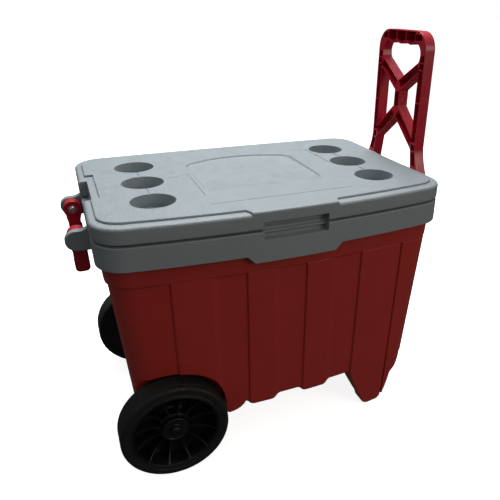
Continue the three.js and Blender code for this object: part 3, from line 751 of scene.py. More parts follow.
def pilaster(x, softest=CRISP):
    """1 on a pilaster and 0 between them: a crisp step on the left and a softer one on the right.
    softest widens the steps that are narrower."""
    height = 0.0
    for left, right, soft in PILASTERS:
        rise = smoothstep((x - left) / softest + 0.5)
        fall = smoothstep((right - x) / max(soft, softest) + 0.5)
        height = max(height, rise * fall)
    return height


def body_stations():
    """Stations along the tub's long sides, close together at the pilasters' edges."""
    edges = [left + step * CRISP / 2 for left, _, _ in PILASTERS for step in (-1, 0, 1)]
    edges += [right + step * soft / 4 for _, right, soft in PILASTERS[:-1] for step in (-2, -1, 0, 1, 2)]
    edges += [left + step for left, _, _ in PILASTERS[:-1] for step in (-9, -5, 5, 9)]
    fillers = [x for x in range(-245, 246, 14) if min(abs(x - edge) for edge in edges) > 5]
    return sorted(edges + fillers)


def body_ring(z, inset, stations):
    """A ring of the tub's skin: the outline set back by the relief, except on the pilasters.
    z is one height, or a function of how much of a pilaster a point is on."""
    relief = Sizes("cooler_body").relief
    base = z(0) if callable(z) else z
    back = body_outline(base, inset + relief, stations)
    proud = body_outline(base, inset + 0.5, stations)
    ring = []
    edge = max(stations) + 0.1
    for (x0, y0), (x1, y1) in zip(back, proud):
        share = pilaster(x0)
        height = z(pilaster(x0, NUB_SOFTNESS) if abs(x0) < edge else 0.0) if callable(z) else z
        ring.append((x0 + (x1 - x0) * share, y0 + (y1 - y0) * share, height))
    return ring


def body_skin():
    """The tub's outside: a plain band at the top, pilasters below it and rounded nubs under them."""
    stations = body_stations()
    nub = Sizes("cooler_body").nub
    turn = 11.0
    rings = [
        level(body_outline(BODY_TOP, 0, stations), BODY_TOP),
        level(body_outline(BAND_BOTTOM + 3, 0, stations), BAND_BOTTOM + 3),
        level(body_outline(BAND_BOTTOM + 1, 0.3, stations), BAND_BOTTOM + 1),
        level(body_outline(BAND_BOTTOM, 1.2, stations), BAND_BOTTOM - 0.2),
        body_ring(BAND_BOTTOM - 1.6, 0, stations),
        body_ring(330, 0, stations),
        body_ring(250, 0, stations),
        body_ring(180, 0, stations),
        body_ring(135, 0, stations),
    ]
    for inward, up in quarter_turn(turn, 6):
        rings.append(body_ring(lambda share: BODY_BOTTOM - nub * share + turn - up, inward, stations))
    rings.append(body_ring(lambda share: BODY_BOTTOM - 0.7 * nub * share, turn + 12, stations))
    rings.append(level(body_outline(BODY_BOTTOM, turn + 34, stations), BODY_BOTTOM + 2))
    return loft(rings)


def foot_part(points, inset, side, inner=127):
    """Part of a foot or nub under the tub: a front view in x and z, its outer face the tub's own slope."""
    top = 136
    part = side_plate(points, *sorted((side * 100, side * 240)))
    low, high = min(x for x, _ in points) - 5, max(x for x, _ in points) + 5
    drafted = loft(
        [
            [(low, side * y, z), (high, side * y, z), (high, side * 260, z), (low, side * 260, z)]
            for y, z in ((inner + 37, -1), (inner, top))
        ]
    )
    face = loft([level(body_outline(z, inset), z) for z in (-1, top)])
    return limit(limit(part, drafted), face)


def arc(centre, radius, start, end, steps=6):
    """Points round an arc, its angles in degrees."""
    turns = [radians(start + (end - start) * step / steps) for step in range(steps + 1)]
    return [(centre[0] + radius * cos(turn), centre[1] + radius * sin(turn)) for turn in turns]


def curve(start, control, end, steps=8):
    """Points along a quadratic curve."""
    points = []
    for step in range(steps + 1):
        t = step / steps
        weights = ((1 - t) ** 2, 2 * t * (1 - t), t * t)
        points.append(
            tuple(sum(w * p[i] for w, p in zip(weights, (start, control, end))) for i in range(2))
        )
    return points


def feet():
    """The feet under the last pilasters, each a tall part and a shorter one at the tub's corner, and the
    rounded nubs behind the wheels."""
    top = 130
    main = [(143, top)] + curve((143, 106), (158, 66), (181, 22))
    main += arc((203, 22), 22, 190, 265) + arc((223, 13), 13, 275, 350) + [(236, top)]
    link = [(228, top), (228, 10), (236, 8), (246, 26), (246, top)]
    corner = [(240, top), (240, 12)] + curve((241, 12), (252, 34), (257, 66))
    corner += curve((262, 72), (279, 80), (281, 104)) + [(281, top)]
    nub = [(-150, top), (-150, 95)] + arc((-127, 100), 9, 210, 280)
    nub += curve((-118, 93), (-104, 97), (-96, 109)) + [(-90, top)]
    shapes = ((main, 0.55), (link, 4.05), (corner, 0.55), (nub, 4.05))
    return [foot_part(points, inset, side) for points, inset in shapes for side in (-1, 1)]


class COOLER_OT_body(bpy.types.Operator):
    """Builds the red outer tub with its wheel wells, feet and axle beam."""

    bl_idname = "cooler.body"
    bl_label = "Outer tub"

    def execute(self, context):
        wall = Sizes("cooler_body").wall
        inset = Sizes("cooler_body").relief + wall
        cavity = loft(
            [
                level(body_outline(z, inset + extra), z)
                for z, extra in ((BODY_BOTTOM + wall, 14), (124, 3), (135, 0), (BODY_TOP + 5, 0))
            ]
        )
        cavity = cut(cavity, *wheel_wells(wall))
        skin = cut(join(body_skin(), *feet()), *wheel_wells(0), cavity)
        beam = rod("Y", BEAM_RADIUS, (WHEEL_X, WHEEL_RADIUS), -WELL_INNER, WELL_INNER)
        boss = rod("X", DRAIN_BOSS, (0, DRAIN_Z), 290, 306)
        skin = join(skin, beam, soften(boss, 1.2))
        skin = cut(
            skin,
            rod("Y", AXLE_BORE, (WHEEL_X, WHEEL_RADIUS), -200, 200),
            rod("X", DRAIN_BORE, (0, DRAIN_Z), 280, 320),
        )
        skin = soften(skin, 2.2, 2, self.is_outer_edge, 50)
        close_piece(skin, "outer_tub", finish_of("red_body"), "body", ["outer_shell"])
        return {"FINISHED"}

    def is_outer_edge(self, point):
        """Whether an edge of the tub lies round a wheel well's mouth or on a foot."""
        outside = abs(point.y) > WELL_INNER + 14
        well = point.x < -115 and BODY_BOTTOM + 4 < point.z < 230 and outside
        foot = point.x > 130 and point.z < 98
        return well or foot


# ---- the collar ---------------------------------------------------------------------------------

APRON = (76, 90, 14)


def apron_drop(x, y):
    """How far the collar's lower edge drops at the middle of the front."""
    tip, root, drop = APRON
    share = (root - abs(x)) / (root - tip)
    return drop * min(max(share, 0), 1) if y < 0 else 0.0


def collar_ring(inset, lift, stations):
    """A ring near the collar's lower edge."""
    outline = lid_outline(COLLAR_STEP + inset, stations)
    return level(outline, lambda x, y: COLLAR_BOTTOM - apron_drop(x, y) + lift)


def lug(end, y0, y1):
    """A rounded tab that carries a handle's pivot, with a hollow curve up to the collar's edge."""
    radius = 18.0
    centre = (349.0, PIVOT_Z)
    points = [(300, PIVOT_Z - radius)] + arc(centre, radius, -90, 90, 16)
    points += [(338, PIVOT_Z + radius)] + arc((334, COLLAR_TOP + 2.5), 8.4, 250, 205, 4) + [(300, 486)]
    tab = side_plate([(end * x, z) for x, z in points], y0, y1)
    return soften(tab, 2.2, 3, lambda p: abs(p.x) > 327)


class COOLER_OT_collar(bpy.types.Operator):
    """Builds the grey collar with its apron, finger recess and pivot lugs."""

    bl_idname = "cooler.collar"
    bl_label = "Collar"

    def execute(self, context):
        bends = [x + nudge for x in APRON[:2] for nudge in (-3, 0, 3)]
        right = [40, 135, 180, 210, 240] + bends
        stations = sorted([0] + right + [-x for x in right])
        seat = [level(body_outline(z, -GAP, stations), z) for z in (462, COLLAR_BOTTOM)]
        inner_foot = level(body_outline(COLLAR_BOTTOM, -GAP, stations),
                           lambda x, y: COLLAR_BOTTOM - apron_drop(x, y))
        top = quarter_turn(2.0, 5)
        lip = COLLAR_TOP - 3.6
        edge = ((1.2, 0), (0.4, 0.4), (0, 1.2))
        rings = [collar_ring(inset, lift, stations) for inset, lift in edge]
        rings += [
            level(lid_outline(COLLAR_STEP + inward, stations), lip - 2.0 + up) for inward, up in top
        ]
        rings += [
            level(lid_outline(COLLAR_STEP + inset, stations), z)
            for inset, z in (
                (13, lip),
                (13.4, COLLAR_TOP - 0.4),
                (14, COLLAR_TOP),
                (MOUTH_INSET - 1, COLLAR_TOP),
                (MOUTH_INSET, 486),
                (MOUTH_INSET, SEAT_Z),
                (7.3, SEAT_Z),
                (7.3, 463),
            )
        ]
        rings += seat + [inner_foot]
        ring = loft(rings, closed=True)
        pocket = block(
            (-RECESS_HALF - 4, -300, RECESS_Z[0] - 3.5),
            (RECESS_HALF + 4, 4.5 - RECESS_BACK, COLLAR_TOP - 3),
        )
        pocket = limit(pocket, loft([level(lid_outline(COLLAR_STEP + 1), z) for z in (430, 500)]))
        ring = join(ring, pocket)
        lugs = [lug(-1, 86, 100), lug(-1, -100, -86), lug(1, 106, 120), lug(1, -120, -106)]
        inside = loft([level(lid_outline(COLLAR_STEP + 2), z) for z in (400, 500)])
        tabs = cut(gather(*lugs), inside)
        ring = join(ring, tabs)
        low = RECESS_Z[0]
        hollow = [(-300, low), (-RECESS_BACK, low), (-RECESS_BACK, low + 7), (-RECESS_BACK - 5, low + 9)]
        hollow += [(-RECESS_BACK - 5, low + 12), (-RECESS_BACK, low + 14), (-RECESS_BACK, 520), (-300, 520)]
        ring = cut(ring, end_plate(hollow, -RECESS_HALF, RECESS_HALF))
        ring = soften(ring, 0.9, 2, lambda p: p.y < -205 and abs(p.x) < RECESS_HALF + 2 and p.z > 465)
        close_piece(ring, "collar", finish_of("grey_plastic"), "body", ["trim_collar"])
        return {"FINISHED"}


# ---- the liner ----------------------------------------------------------------------------------


def tub_steps(grow):
    """The blocks that keep the tub clear of the wheel wells."""
    solids = []
    right, inner, top = WELL_STEP
    for side in (-1, 1):
        low, high = sorted((side * (inner - grow), side * 300))
        solids.append(block((-FAR, low, 0), (right + grow, high, top + grow)))
    return solids


class COOLER_OT_liner(bpy.types.Operator):
    """Builds the white inner tub and the white underside of the lid."""

    bl_idname = "cooler.liner"
    bl_label = "Liners"

    def execute(self, context):
        right, _, top = WELL_STEP
        inside = tub_solid(LINER_WALL, TUB_FLOOR + LINER_WALL, 500, 18)
        steps = [soften(step, 12, 4, lambda p: p.x > right or p.z > top) for step in tub_steps(LINER_WALL)]
        inside = cut(inside, *steps)
        tub = cut(tub_solid(0, TUB_FLOOR, 484, 20), *tub_steps(0))
        rim_outline = lid_outline(COLLAR_STEP + MOUTH_INSET + GAP)
        rim = loft([level(rim_outline, 483.3), level(rim_outline, COLLAR_TOP)])
        tub = cut(join(tub, rim, rod("X", DRAIN_BOSS, (0, DRAIN_Z), 257, 262)), inside)
        tub = cut(tub, rod("X", DRAIN_BORE, (0, DRAIN_Z), 240, 290))
        tub = soften(tub, 1.2, 2, lambda p: p.z > 480, 40)
        close_piece(tub, "inner_tub", finish_of("white_liner"), "body", ["inner_liner"])

        outline = lid_outline(3.8)
        flange = loft([level(outline, LID_BOTTOM + GAP), level(outline, 492)])
        plug = tub_solid(6, 474, 491, 5)
        plate = join(flange, plug)
        plate = cut(plate, tub_solid(10, 477, 500, 4))
        seal_slot = ((-11, 480), (-11, 490.3), (-4, 490.3), (-4, 480))
        ring = [level(tub_outline(SEAT_Z, inset), z) for inset, z in seal_slot]
        plate = cut(plate, loft(ring, closed=True), *notches(3.8))
        plate = soften(plate, 0.8, 2, lambda p: p.z < 478, 50)
        close_piece(plate, "lid_underside", finish_of("white_liner"), "lid", ["lid_liner"])
        return {"FINISHED"}


# ---- the lid ------------------------------------------------------------------------------------


def notches(grow):
    """Everything that is cut out of the lid's edge: both ends, the hinges' bay and the finger recess."""
    edge = LID_HALF_X - NOTCH_DEPTH - grow
    half = NOTCH_HALF + grow
    recess = RECESS_HALF + grow
    return [
        block((-FAR, -half, 400), (-edge, half, 600)),
        block((edge, -half, 400), (FAR, half, 600)),
        block((-140 - grow, 216 - grow, 400), (140 + grow, 300, 600)),
        block((-recess, -300, 400), (recess, grow - RECESS_BACK, RECESS_Z[1] + grow)),
    ]


def cup_places():
    return [(x, row * CUP_PITCH) for x in (-CUP_X, CUP_X) for row in (-1, 0, 1)]


def groove(points, width=1.4, depth=0.9):
    """A shallow line engraved in the deck, mitred where it turns."""
    half = width / 2
    runs = [(Vector(end) - Vector(start)).normalized() for start, end in zip(points, points[1:])]
    left, right = [], []
    for point, before, after in zip(points, [runs[0], *runs], [*runs, runs[-1]]):
        across = Vector((-before.y - after.y, before.x + after.x)).normalized()
        across *= half / across.dot(Vector((-before.y, before.x)))
        left.append(Vector(point) + across)
        right.append(Vector(point) - across)
    return plan([tuple(p) for p in left + right[::-1]], LID_TOP - depth, LID_TOP + 5)


TRAY_HALF = (119, 115)
TRAY_Y = 16.0
TRAY_SLOPE = 6.0
TRAY_CORNER = 30.0
TRAY_BOW = 22.0


def tray_ring(shrink, sink):
    """A ring of the tray: sunk by sink of its depth, and running out level with the deck at the front."""
    half_x, half_y = (half - shrink for half in TRAY_HALF)
    scale = half_x / TRAY_HALF[0]
    stations = [0.3 * x * scale for x in PLAIN_STATIONS]
    outline = bowed(half_x, half_y, TRAY_CORNER * scale, bows=(0, TRAY_BOW * scale), stations=stations)
    depth = Sizes("cooler_lid").tray_depth * sink
    front = TRAY_Y - TRAY_HALF[1]
    return [(x, y + TRAY_Y, LID_TOP - depth * smoothstep((y + TRAY_Y - front) / 50)) for x, y in outline]


def deck_solid():
    """The raised deck with its rounded edge and the shallow tray at its middle."""
    round_edge = 2.4
    half_x, half_y = DECK_HALF
    rings = [level(bowed(half_x, half_y, DECK_CORNER), 505)]
    rings += [
        level(bowed(half_x - inward, half_y - inward, DECK_CORNER - inward), LID_TOP - round_edge + up)
        for inward, up in quarter_turn(round_edge, 4)
    ]
    rings += [tray_ring(TRAY_SLOPE * step / 6, smoothstep(step / 6)) for step in range(7)]
    rings += [tray_ring(shrink, 1) for shrink in (20, 50, 80)]
    return loft(rings)


class COOLER_OT_lid(bpy.types.Operator):
    """Builds the grey lid with its raised deck, cup holders, tray and notches."""

    bl_idname = "cooler.lid"
    bl_label = "Lid"

    def execute(self, context):
        size = Sizes("cooler_lid")
        border = LID_TOP - size.border
        foot = ((2.6, 0), (1.3, 0.2), (0.5, 0.8), (0.1, 2))
        rings = [level(lid_outline(inset), LID_BOTTOM + up) for inset, up in foot]
        rings += [level(lid_outline(inset), z) for inset, z in ((0, 498.6), (0.35, 499), (0, 499.4))]
        rings += [
            level(lid_outline(inward), border - size.edge + up) for inward, up in quarter_turn(size.edge)
        ]
        base = loft(rings)

        flank = [(79, -240), (79, -225), (88, -203), (88, -192)]
        nose = plan([(-x, y) for x, y in flank[::-1]] + flank, 505, LID_TOP)
        nose = soften(nose, 2.0, 3, lambda p: p.z > LID_TOP - 1 and -238 < p.y < -193)
        face = loft(
            [level(lid_outline(0), 500)]
            + [level(lid_outline(inward), LID_TOP - 4 + up) for inward, up in quarter_turn(4)]
        )
        beside_notch = block((-330, -62, border), (-299, 84, 530))
        deck = join(cut(deck_solid(), beside_notch), limit(nose, face))
        lid = join(base, deck)

        wells = gather(
            *[rod("Z", size.cup_radius, place, LID_TOP - size.cup_depth, 560, 72) for place in cup_places()]
        )
        lid = cut(lid, wells)
        lid = cut(lid, *notches(0))
        lid = soften(
            lid,
            1.3,
            3,
            lambda p: LID_TOP - size.cup_depth - 1 < p.z
            and any(abs(hypot(p.x - x, p.y - y) - size.cup_radius) < 1 for x, y in cup_places()),
        )
        edge = LID_HALF_X - NOTCH_DEPTH
        lid = soften(
            lid,
            1.2,
            2,
            lambda p: p.z > 495
            and (
                (abs(abs(p.x) - edge) < 0.5 and abs(p.y) < NOTCH_HALF + 1)
                or (abs(abs(p.y) - NOTCH_HALF) < 0.5 and abs(p.x) > edge - 1)
            ),
        )
        cavity = loft([level(lid_outline(LID_WALL), z) for z in (480, 511)])
        cup_wall = 3.0
        below = LID_TOP - size.cup_depth - cup_wall
        cups = [rod("Z", size.cup_radius + cup_wall, place, below, 560, 48) for place in cup_places()]
        cavity = cut(cavity, gather(*cups), *notches(LID_WALL))
        lid = cut(lid, cavity)
        lines = (
            ((-131, -163), (139, -163)),
            ((-168, 10), (-127, 22), (-128, -114)),
            ((136, 127), (172, 121), (175, 4)),
        )
        lid = cut(lid, *[groove(points) for points in lines])
        ties = [((x, middle - 18), (x, middle + 18)) for x in (-CUP_X, CUP_X) for middle in (-55, 55)]
        lid = cut(lid, *[groove(points, 2.4, 1.2) for points in ties])
        close_piece(lid, "lid", finish_of("grey_plastic"), "lid", ["lid_shell"])
        return {"FINISHED"}


# ---- the tow handle -----------------------------------------------------------------------------


def channel(start, end, half_width, depth, rim):
    """A slot in the tow handle's open face from start to end, both in y and z."""
    (y0, z0), (y1, z1) = start, end
    run = hypot(y1 - y0, z1 - z0)
    along = ((y1 - y0) / run, (z1 - z0) / run)
    half = half_width - rim
    across = (-along[1] * half, along[0] * half)
    corners = [
        (y0 + across[0], z0 + across[1]),
        (y0 - across[0], z0 - across[1]),
        (y1 - across[0], z1 - across[1]),
        (y1 + across[0], z1 + across[1]),
    ]
    return end_plate(corners, TOW_FACE - 5, TOW_FACE + depth)


def split_run(start, end, breaks, rib):
    """The stretches between ribs at the given heights on a straight run upwards."""
    heights = [start[1]] + [z + side * rib / 2 for z in breaks for side in (-1, 1)] + [end[1]]
    slope = (end[0] - start[0]) / (end[1] - start[1])
    points = [(start[0] + (z - start[1]) * slope, z) for z in heights]
    return list(zip(points[::2], points[1::2]))


class COOLER_OT_tow_handle(bpy.types.Operator):
    """Builds the tow handle: two rails joined by a truss and a grip, open on the side towards the lid."""

    bl_idname = "cooler.tow_handle"
    bl_label = "Tow handle"

    def execute(self, context):
        size = Sizes("cooler_handle")
        corner = 36.0
        right = [(LEG_INNER, PIVOT_Z), (LEG_OUTER, PIVOT_Z), (LEG_OUTER, 497)]
        right += curve((LEG_OUTER - 1.5, 503), (TOW_SIDE + 4, 528), (TOW_SIDE, 556), 6)
        right += arc((TOW_SIDE - corner, TOW_TOP - corner), corner, 0, 90, 12)
        inner = [(0, 607), (RAIL_INNER, 551), (LEG_INNER - 2, 510), (LEG_INNER, 497)]
        left = [(-y, z) for y, z in reversed(right)]
        outline = right + left + [(-y, z) for y, z in reversed(inner[1:])] + inner
        grip_bottom = 757.0
        scallops = []
        for middle in (36.0, 4.0, -30.0):
            scallops += arc((middle, grip_bottom + 12), 16.5, -45, -135, 6)
        opening = [(0, 682), (64, 722), (RAIL_INNER - 1, 727)] + arc((47, 736), 21, 0, 62, 8)
        opening += [p for p in scallops if abs(p[0]) < 60]
        opening += arc((-47, 736), 21, 118, 180, 8) + [(-RAIL_INNER + 1, 727), (-64, 722)]
        side_gap = [(9, 630), (9, 662), (RAIL_INNER, 702), (RAIL_INNER, 578)]
        frame_plate = end_plate(outline, TOW_FACE, TOW_FACE + TOW_DEPTH)
        gaps = [opening, side_gap, [(-y, z) for y, z in side_gap]]
        gaps = gather(*[end_plate(gap, TOW_FACE - 5, TOW_FACE + TOW_DEPTH + 5) for gap in gaps])
        frame_plate = cut(frame_plate, gaps)
        eye = 15.0
        for low, high in ((LEG_INNER, LEG_OUTER), (-LEG_OUTER, -LEG_INNER)):
            frame_plate = join(frame_plate, rod("Y", eye, (TOW_X, PIVOT_Z), low, high))

        rail = (TOW_SIDE + RAIL_INNER) / 2
        half_rail = (TOW_SIDE - RAIL_INNER) / 2
        rib = 2.2
        slots = []
        for side in (-1, 1):
            run = split_run((side * rail, 566), (side * rail, 735), (640 - 6 * side, 709, 722), rib)
            run += [((side * (rail + 9), 520), (side * (rail + 1), 547))]
            run += [((side * rail, 550), (side * rail, 563))]
            slots += [(a, b, half_rail) for a, b in run]
            slots += [((side * 7, 675), (side * 66.5, 713), 9.8)]
            slots += [((side * 7, 615), (side * 67, 564.5), 10.4)]
        slots += [((0, 629), (0, 659), 9.0)]
        pockets = [channel(a, b, half, size.channel, size.rim) for a, b, half in slots]
        cells = (70, 53.5, 20, -13, -47, -70)
        for high, low in zip(cells, cells[1:]):
            middle = (high + low) / 2
            inner_cell = abs(middle) < 50
            top = TOW_TOP - size.rim - (0 if inner_cell else 5)
            lower = arc((middle, 769), 14, -140, -40, 8) if inner_cell else []
            cell = [(low + rib / 2, 761)] + lower + [(high - rib / 2, 761), (high - rib / 2, top)]
            pockets.append(end_plate(cell + [(low + rib / 2, top)], TOW_FACE - 5, TOW_FACE + size.channel))
        frame_plate = soften(frame_plate, 1.0, 2)
        frame_plate = cut(frame_plate, *pockets)
        frame_plate = cut(frame_plate, rod("Y", BOLT_BORE, (TOW_X, PIVOT_Z), -200, 200, 32))
        red = finish_of("red_handle")
        close_piece(frame_plate, "tow_handle_frame", red, "tow_handle", ["tow_handle"])
        return {"FINISHED"}


class COOLER_OT_carry_bail(bpy.types.Operator):
    """Builds the carry bail: two arms with round eyes and a rounded grip between them."""

    bl_idname = "cooler.carry_bail"
    bl_label = "Carry bail"

    def execute(self, context):
        outer, inner = 85.3, 64.0
        eased = Sizes("cooler_handle").bail_round * 0.6
        half = 10.5
        arms = []
        for low in (inner, -outer):
            high = low + outer - inner
            neck = curve((-half - 4, -14), (-half, -26), (-half - 2, -46), 6)
            shape = neck + [(half + 1, -46)] + curve((half, -26), (half, -20), (half + 4, -12), 4)
            points = [(BAIL_X + x, PIVOT_Z + z) for x, z in shape]
            arm = join(side_plate(points, low, high), rod("Y", 17, (BAIL_X, PIVOT_Z), low, high, 64))
            arms.append(soften(arm, eased, 3, angle=60))
        bottom, top, thick, corner = 397.0, 431.0, 25.0, 8.0
        reach = thick / 2 - corner
        low, high = bottom + corner, top - corner
        ends = ((reach, low), (reach, high), (-reach, high), (-reach, low))
        grip = []
        for number, (x, z) in enumerate(ends):
            grip += arc((BAIL_X + x, z), corner, 90 * number - 90, 90 * number)
        bar = soften(side_plate(grip, -outer, outer), eased, 3, angle=60)
        bail = join(arms[0], bar, arms[1])
        bail = cut(bail, rod("Y", BOLT_BORE, (BAIL_X, PIVOT_Z), -200, 200, 32))
        close_piece(bail, "bail", finish_of("red_handle"), "carry_bail", ["carry_bail"])
        return {"FINISHED"}


# ---- screws, washers and hinges ------------------------------------------------------------------


def pan_screw(head, height, shank, reach):
    """A pan-head screw along Z, its head upwards from z = 0, with a cross recess."""
    turns = [pi / 12 * step for step in range(6)]
    dome = [(head * cos(turn), height * (0.35 + 0.65 * sin(turn))) for turn in turns] + [(0, height)]
    profile = [(0, -reach), (shank * 0.6, -reach), (shank, 2 - reach), (shank, 0), (head, 0)] + dome
    screw = turned(profile, "Z", (0, 0, 0), 32)
    slot = head * 0.5
    thin = head * 0.11
    cross = join(
        block((-slot, -thin, height * 0.5), (slot, thin, height + 2)),
        block((-thin, -slot, height * 0.5), (thin, slot, height + 2)),
    )
    return cut(screw, cross)


def washer_ring(inner, outer, thick, soft=0.3):
    """A flat ring along Z from z = 0 with eased edges."""
    profile = [(inner, 0), (outer - soft, 0), (outer, soft), (outer, thick - soft), (outer - soft, thick)]
    return turned(profile + [(inner, thick)], "Z", (0, 0, 0), 48, closed=True)


def aim(bm, direction, place):
    """Turns a solid's +Z to a direction and moves it to its place."""
    turn = Vector((0, 0, 1)).rotation_difference(Vector(direction)).to_matrix().to_4x4()
    bmesh.ops.transform(bm, matrix=Matrix.Translation(place) @ turn, verts=bm.verts)
    return bm


class COOLER_OT_pivots(bpy.types.Operator):
    """Builds the screws and washers that the tow handle and the carry bail turn on."""

    bl_idname = "cooler.pivots"
    bl_label = "Handle pivots"

    def execute(self, context):
        for kind, x in (("tow", TOW_X), ("bail", BAIL_X)):
            for hand, side in (("front", 1), ("rear", -1)):
                washer, screw = f"{kind}_pivot_washer_{hand}", f"{kind}_pivot_screw_{hand}"
                low, high = span(washer, 1)
                seat = low if side > 0 else high
                ring = aim(washer_ring(3.4, 8.3, high - low), (0, side, 0), (x, seat, PIVOT_Z))
                close_piece(ring, washer + "_ring", finish_of("steel"), "body", [washer])
                head = (high if side > 0 else low) + 0.3 * side
                low, high = span(screw, 1)
                reach = (head - low) if side > 0 else (high - head)
                bolt = aim(pan_screw(7, 4, 3, reach), (0, side, 0), (x, head, PIVOT_Z))
                close_piece(bolt, screw + "_bolt", finish_of("steel"), "body", [screw])
        return {"FINISHED"}


class COOLER_OT_hinges(bpy.types.Operator):
    """Builds the two lid hinges with their pins and screws."""

    bl_idname = "cooler.hinges"
    bl_label = "Lid hinges"

    def execute(self, context):
        for hand, x in (("left", -HINGE_X), ("right", HINGE_X)):
            self.leaves(hand, x)
            pin = turned(
                [(0, -26.6), (1.9, -26.6), (1.9, 25.4), (3.4, 25.4), (3.4, 26.2), (2.4, 27), (0, 27)],
                "X",
                (x, HINGE_Y, HINGE_Z),
                24,
            )
            name = f"hinge_pin_{hand}"
            close_piece(pin, name + "_rod", finish_of("steel"), "body", [name])
            for kind, body in (("body", "body"), ("lid", "lid")):
                for number in (1, 2):
                    name = f"hinge_{kind}_screw_{hand}_{number}"
                    place = (sum(span(name, 0)) / 2, span(name, 1)[1] - 2.2, sum(span(name, 2)) / 2)
                    screw = aim(pan_screw(3.8, 2.2, 1.8, 9), (0, 1, 0), place)
                    close_piece(screw, name + "_bolt", finish_of("steel"), body, [name])
        return {"FINISHED"}

    def leaves(self, hand, x):
        """Both leaves of one hinge."""
        barrel, bore = 4.5, 2.3
        clear = KNUCKLE_HALF + 0.5
        plate = block((x - HINGE_HALF, 227.3, 465), (x + HINGE_HALF, 229.8, HINGE_Z))
        leaf = join(plate, rod("X", barrel, (HINGE_Y, HINGE_Z), x - HINGE_HALF, x + HINGE_HALF, 32))
        leaf = cut(leaf, block((x - clear, 220, HINGE_Z - 6), (x + clear, 245, HINGE_Z + 10)))
        leaf = cut(leaf, rod("X", bore, (HINGE_Y, HINGE_Z), x - 40, x + 40, 24))
        holes = [rod("Y", 2.1, (x + side, 472), 220, 235, 16) for side in (-15, 15)]
        leaf = cut(leaf, gather(*holes))
        black = finish_of("hinge_plastic")
        name = f"hinge_body_leaf_{hand}"
        close_piece(leaf, name + "_plate", black, "body", [name], bevel=0.5)
        plate = block((x - HINGE_HALF, 216.3, 488.4), (x + HINGE_HALF, 218.8, 510))
        tab = block((x - KNUCKLE_HALF, 216.3, 488.4), (x + KNUCKLE_HALF, HINGE_Y, 491))
        knuckle = rod("X", barrel, (HINGE_Y, HINGE_Z), x - KNUCKLE_HALF, x + KNUCKLE_HALF, 32)
        leaf = join(plate, tab, knuckle)
        leaf = cut(leaf, rod("X", bore, (HINGE_Y, HINGE_Z), x - 40, x + 40, 24))
        holes = [rod("Y", 2.1, (x + side, 502), 210, 225, 16) for side in (-15, 15)]
        leaf = cut(leaf, gather(*holes))
        name = f"hinge_lid_leaf_{hand}"
        close_piece(leaf, name + "_plate", black, "lid", [name], bevel=0.5)


# ---- the wheels ---------------------------------------------------------------------------------


def spoke(start, end, dish, low):
    """One thin radial blade along +X, from start to end, which each give a radius and a height.
    Its outer edge is hollow between the two."""
    half = 1.5
    steps = 10
    crest = []
    for step in range(steps + 1):
        share = step / steps
        rise = start[1] + (end[1] - start[1]) * share
        crest.append((start[0] + (end[0] - start[0]) * share, rise - dish * sin(pi * share)))
    return side_plate([(start[0], low), (end[0], low)] + crest[::-1], -half, half)


def tyre_profile(rim, width):
    """The tyre's section from its inner face: eased shoulders and a shallow ring on each sidewall."""
    outer = WHEEL_RADIUS
    shoulder = 6.0
    lower = arc((outer - shoulder, shoulder), shoulder, -78, 0, 8)
    upper = [(radius, width - height) for radius, height in reversed(lower)]
    wall = [(rim, 0.6), (rim + 2.2, 0), (rim + 4, 1.2), (rim + 5.4, 1.2), (rim + 6.4, 0.2)]
    seam = [(outer, 13), (outer - 0.5, 13.6), (outer, 14.2)]
    tread = seam + [(radius, width - height) for radius, height in reversed(seam)]
    return wall + lower + tread + upper + [(radius, width - height) for radius, height in reversed(wall)]


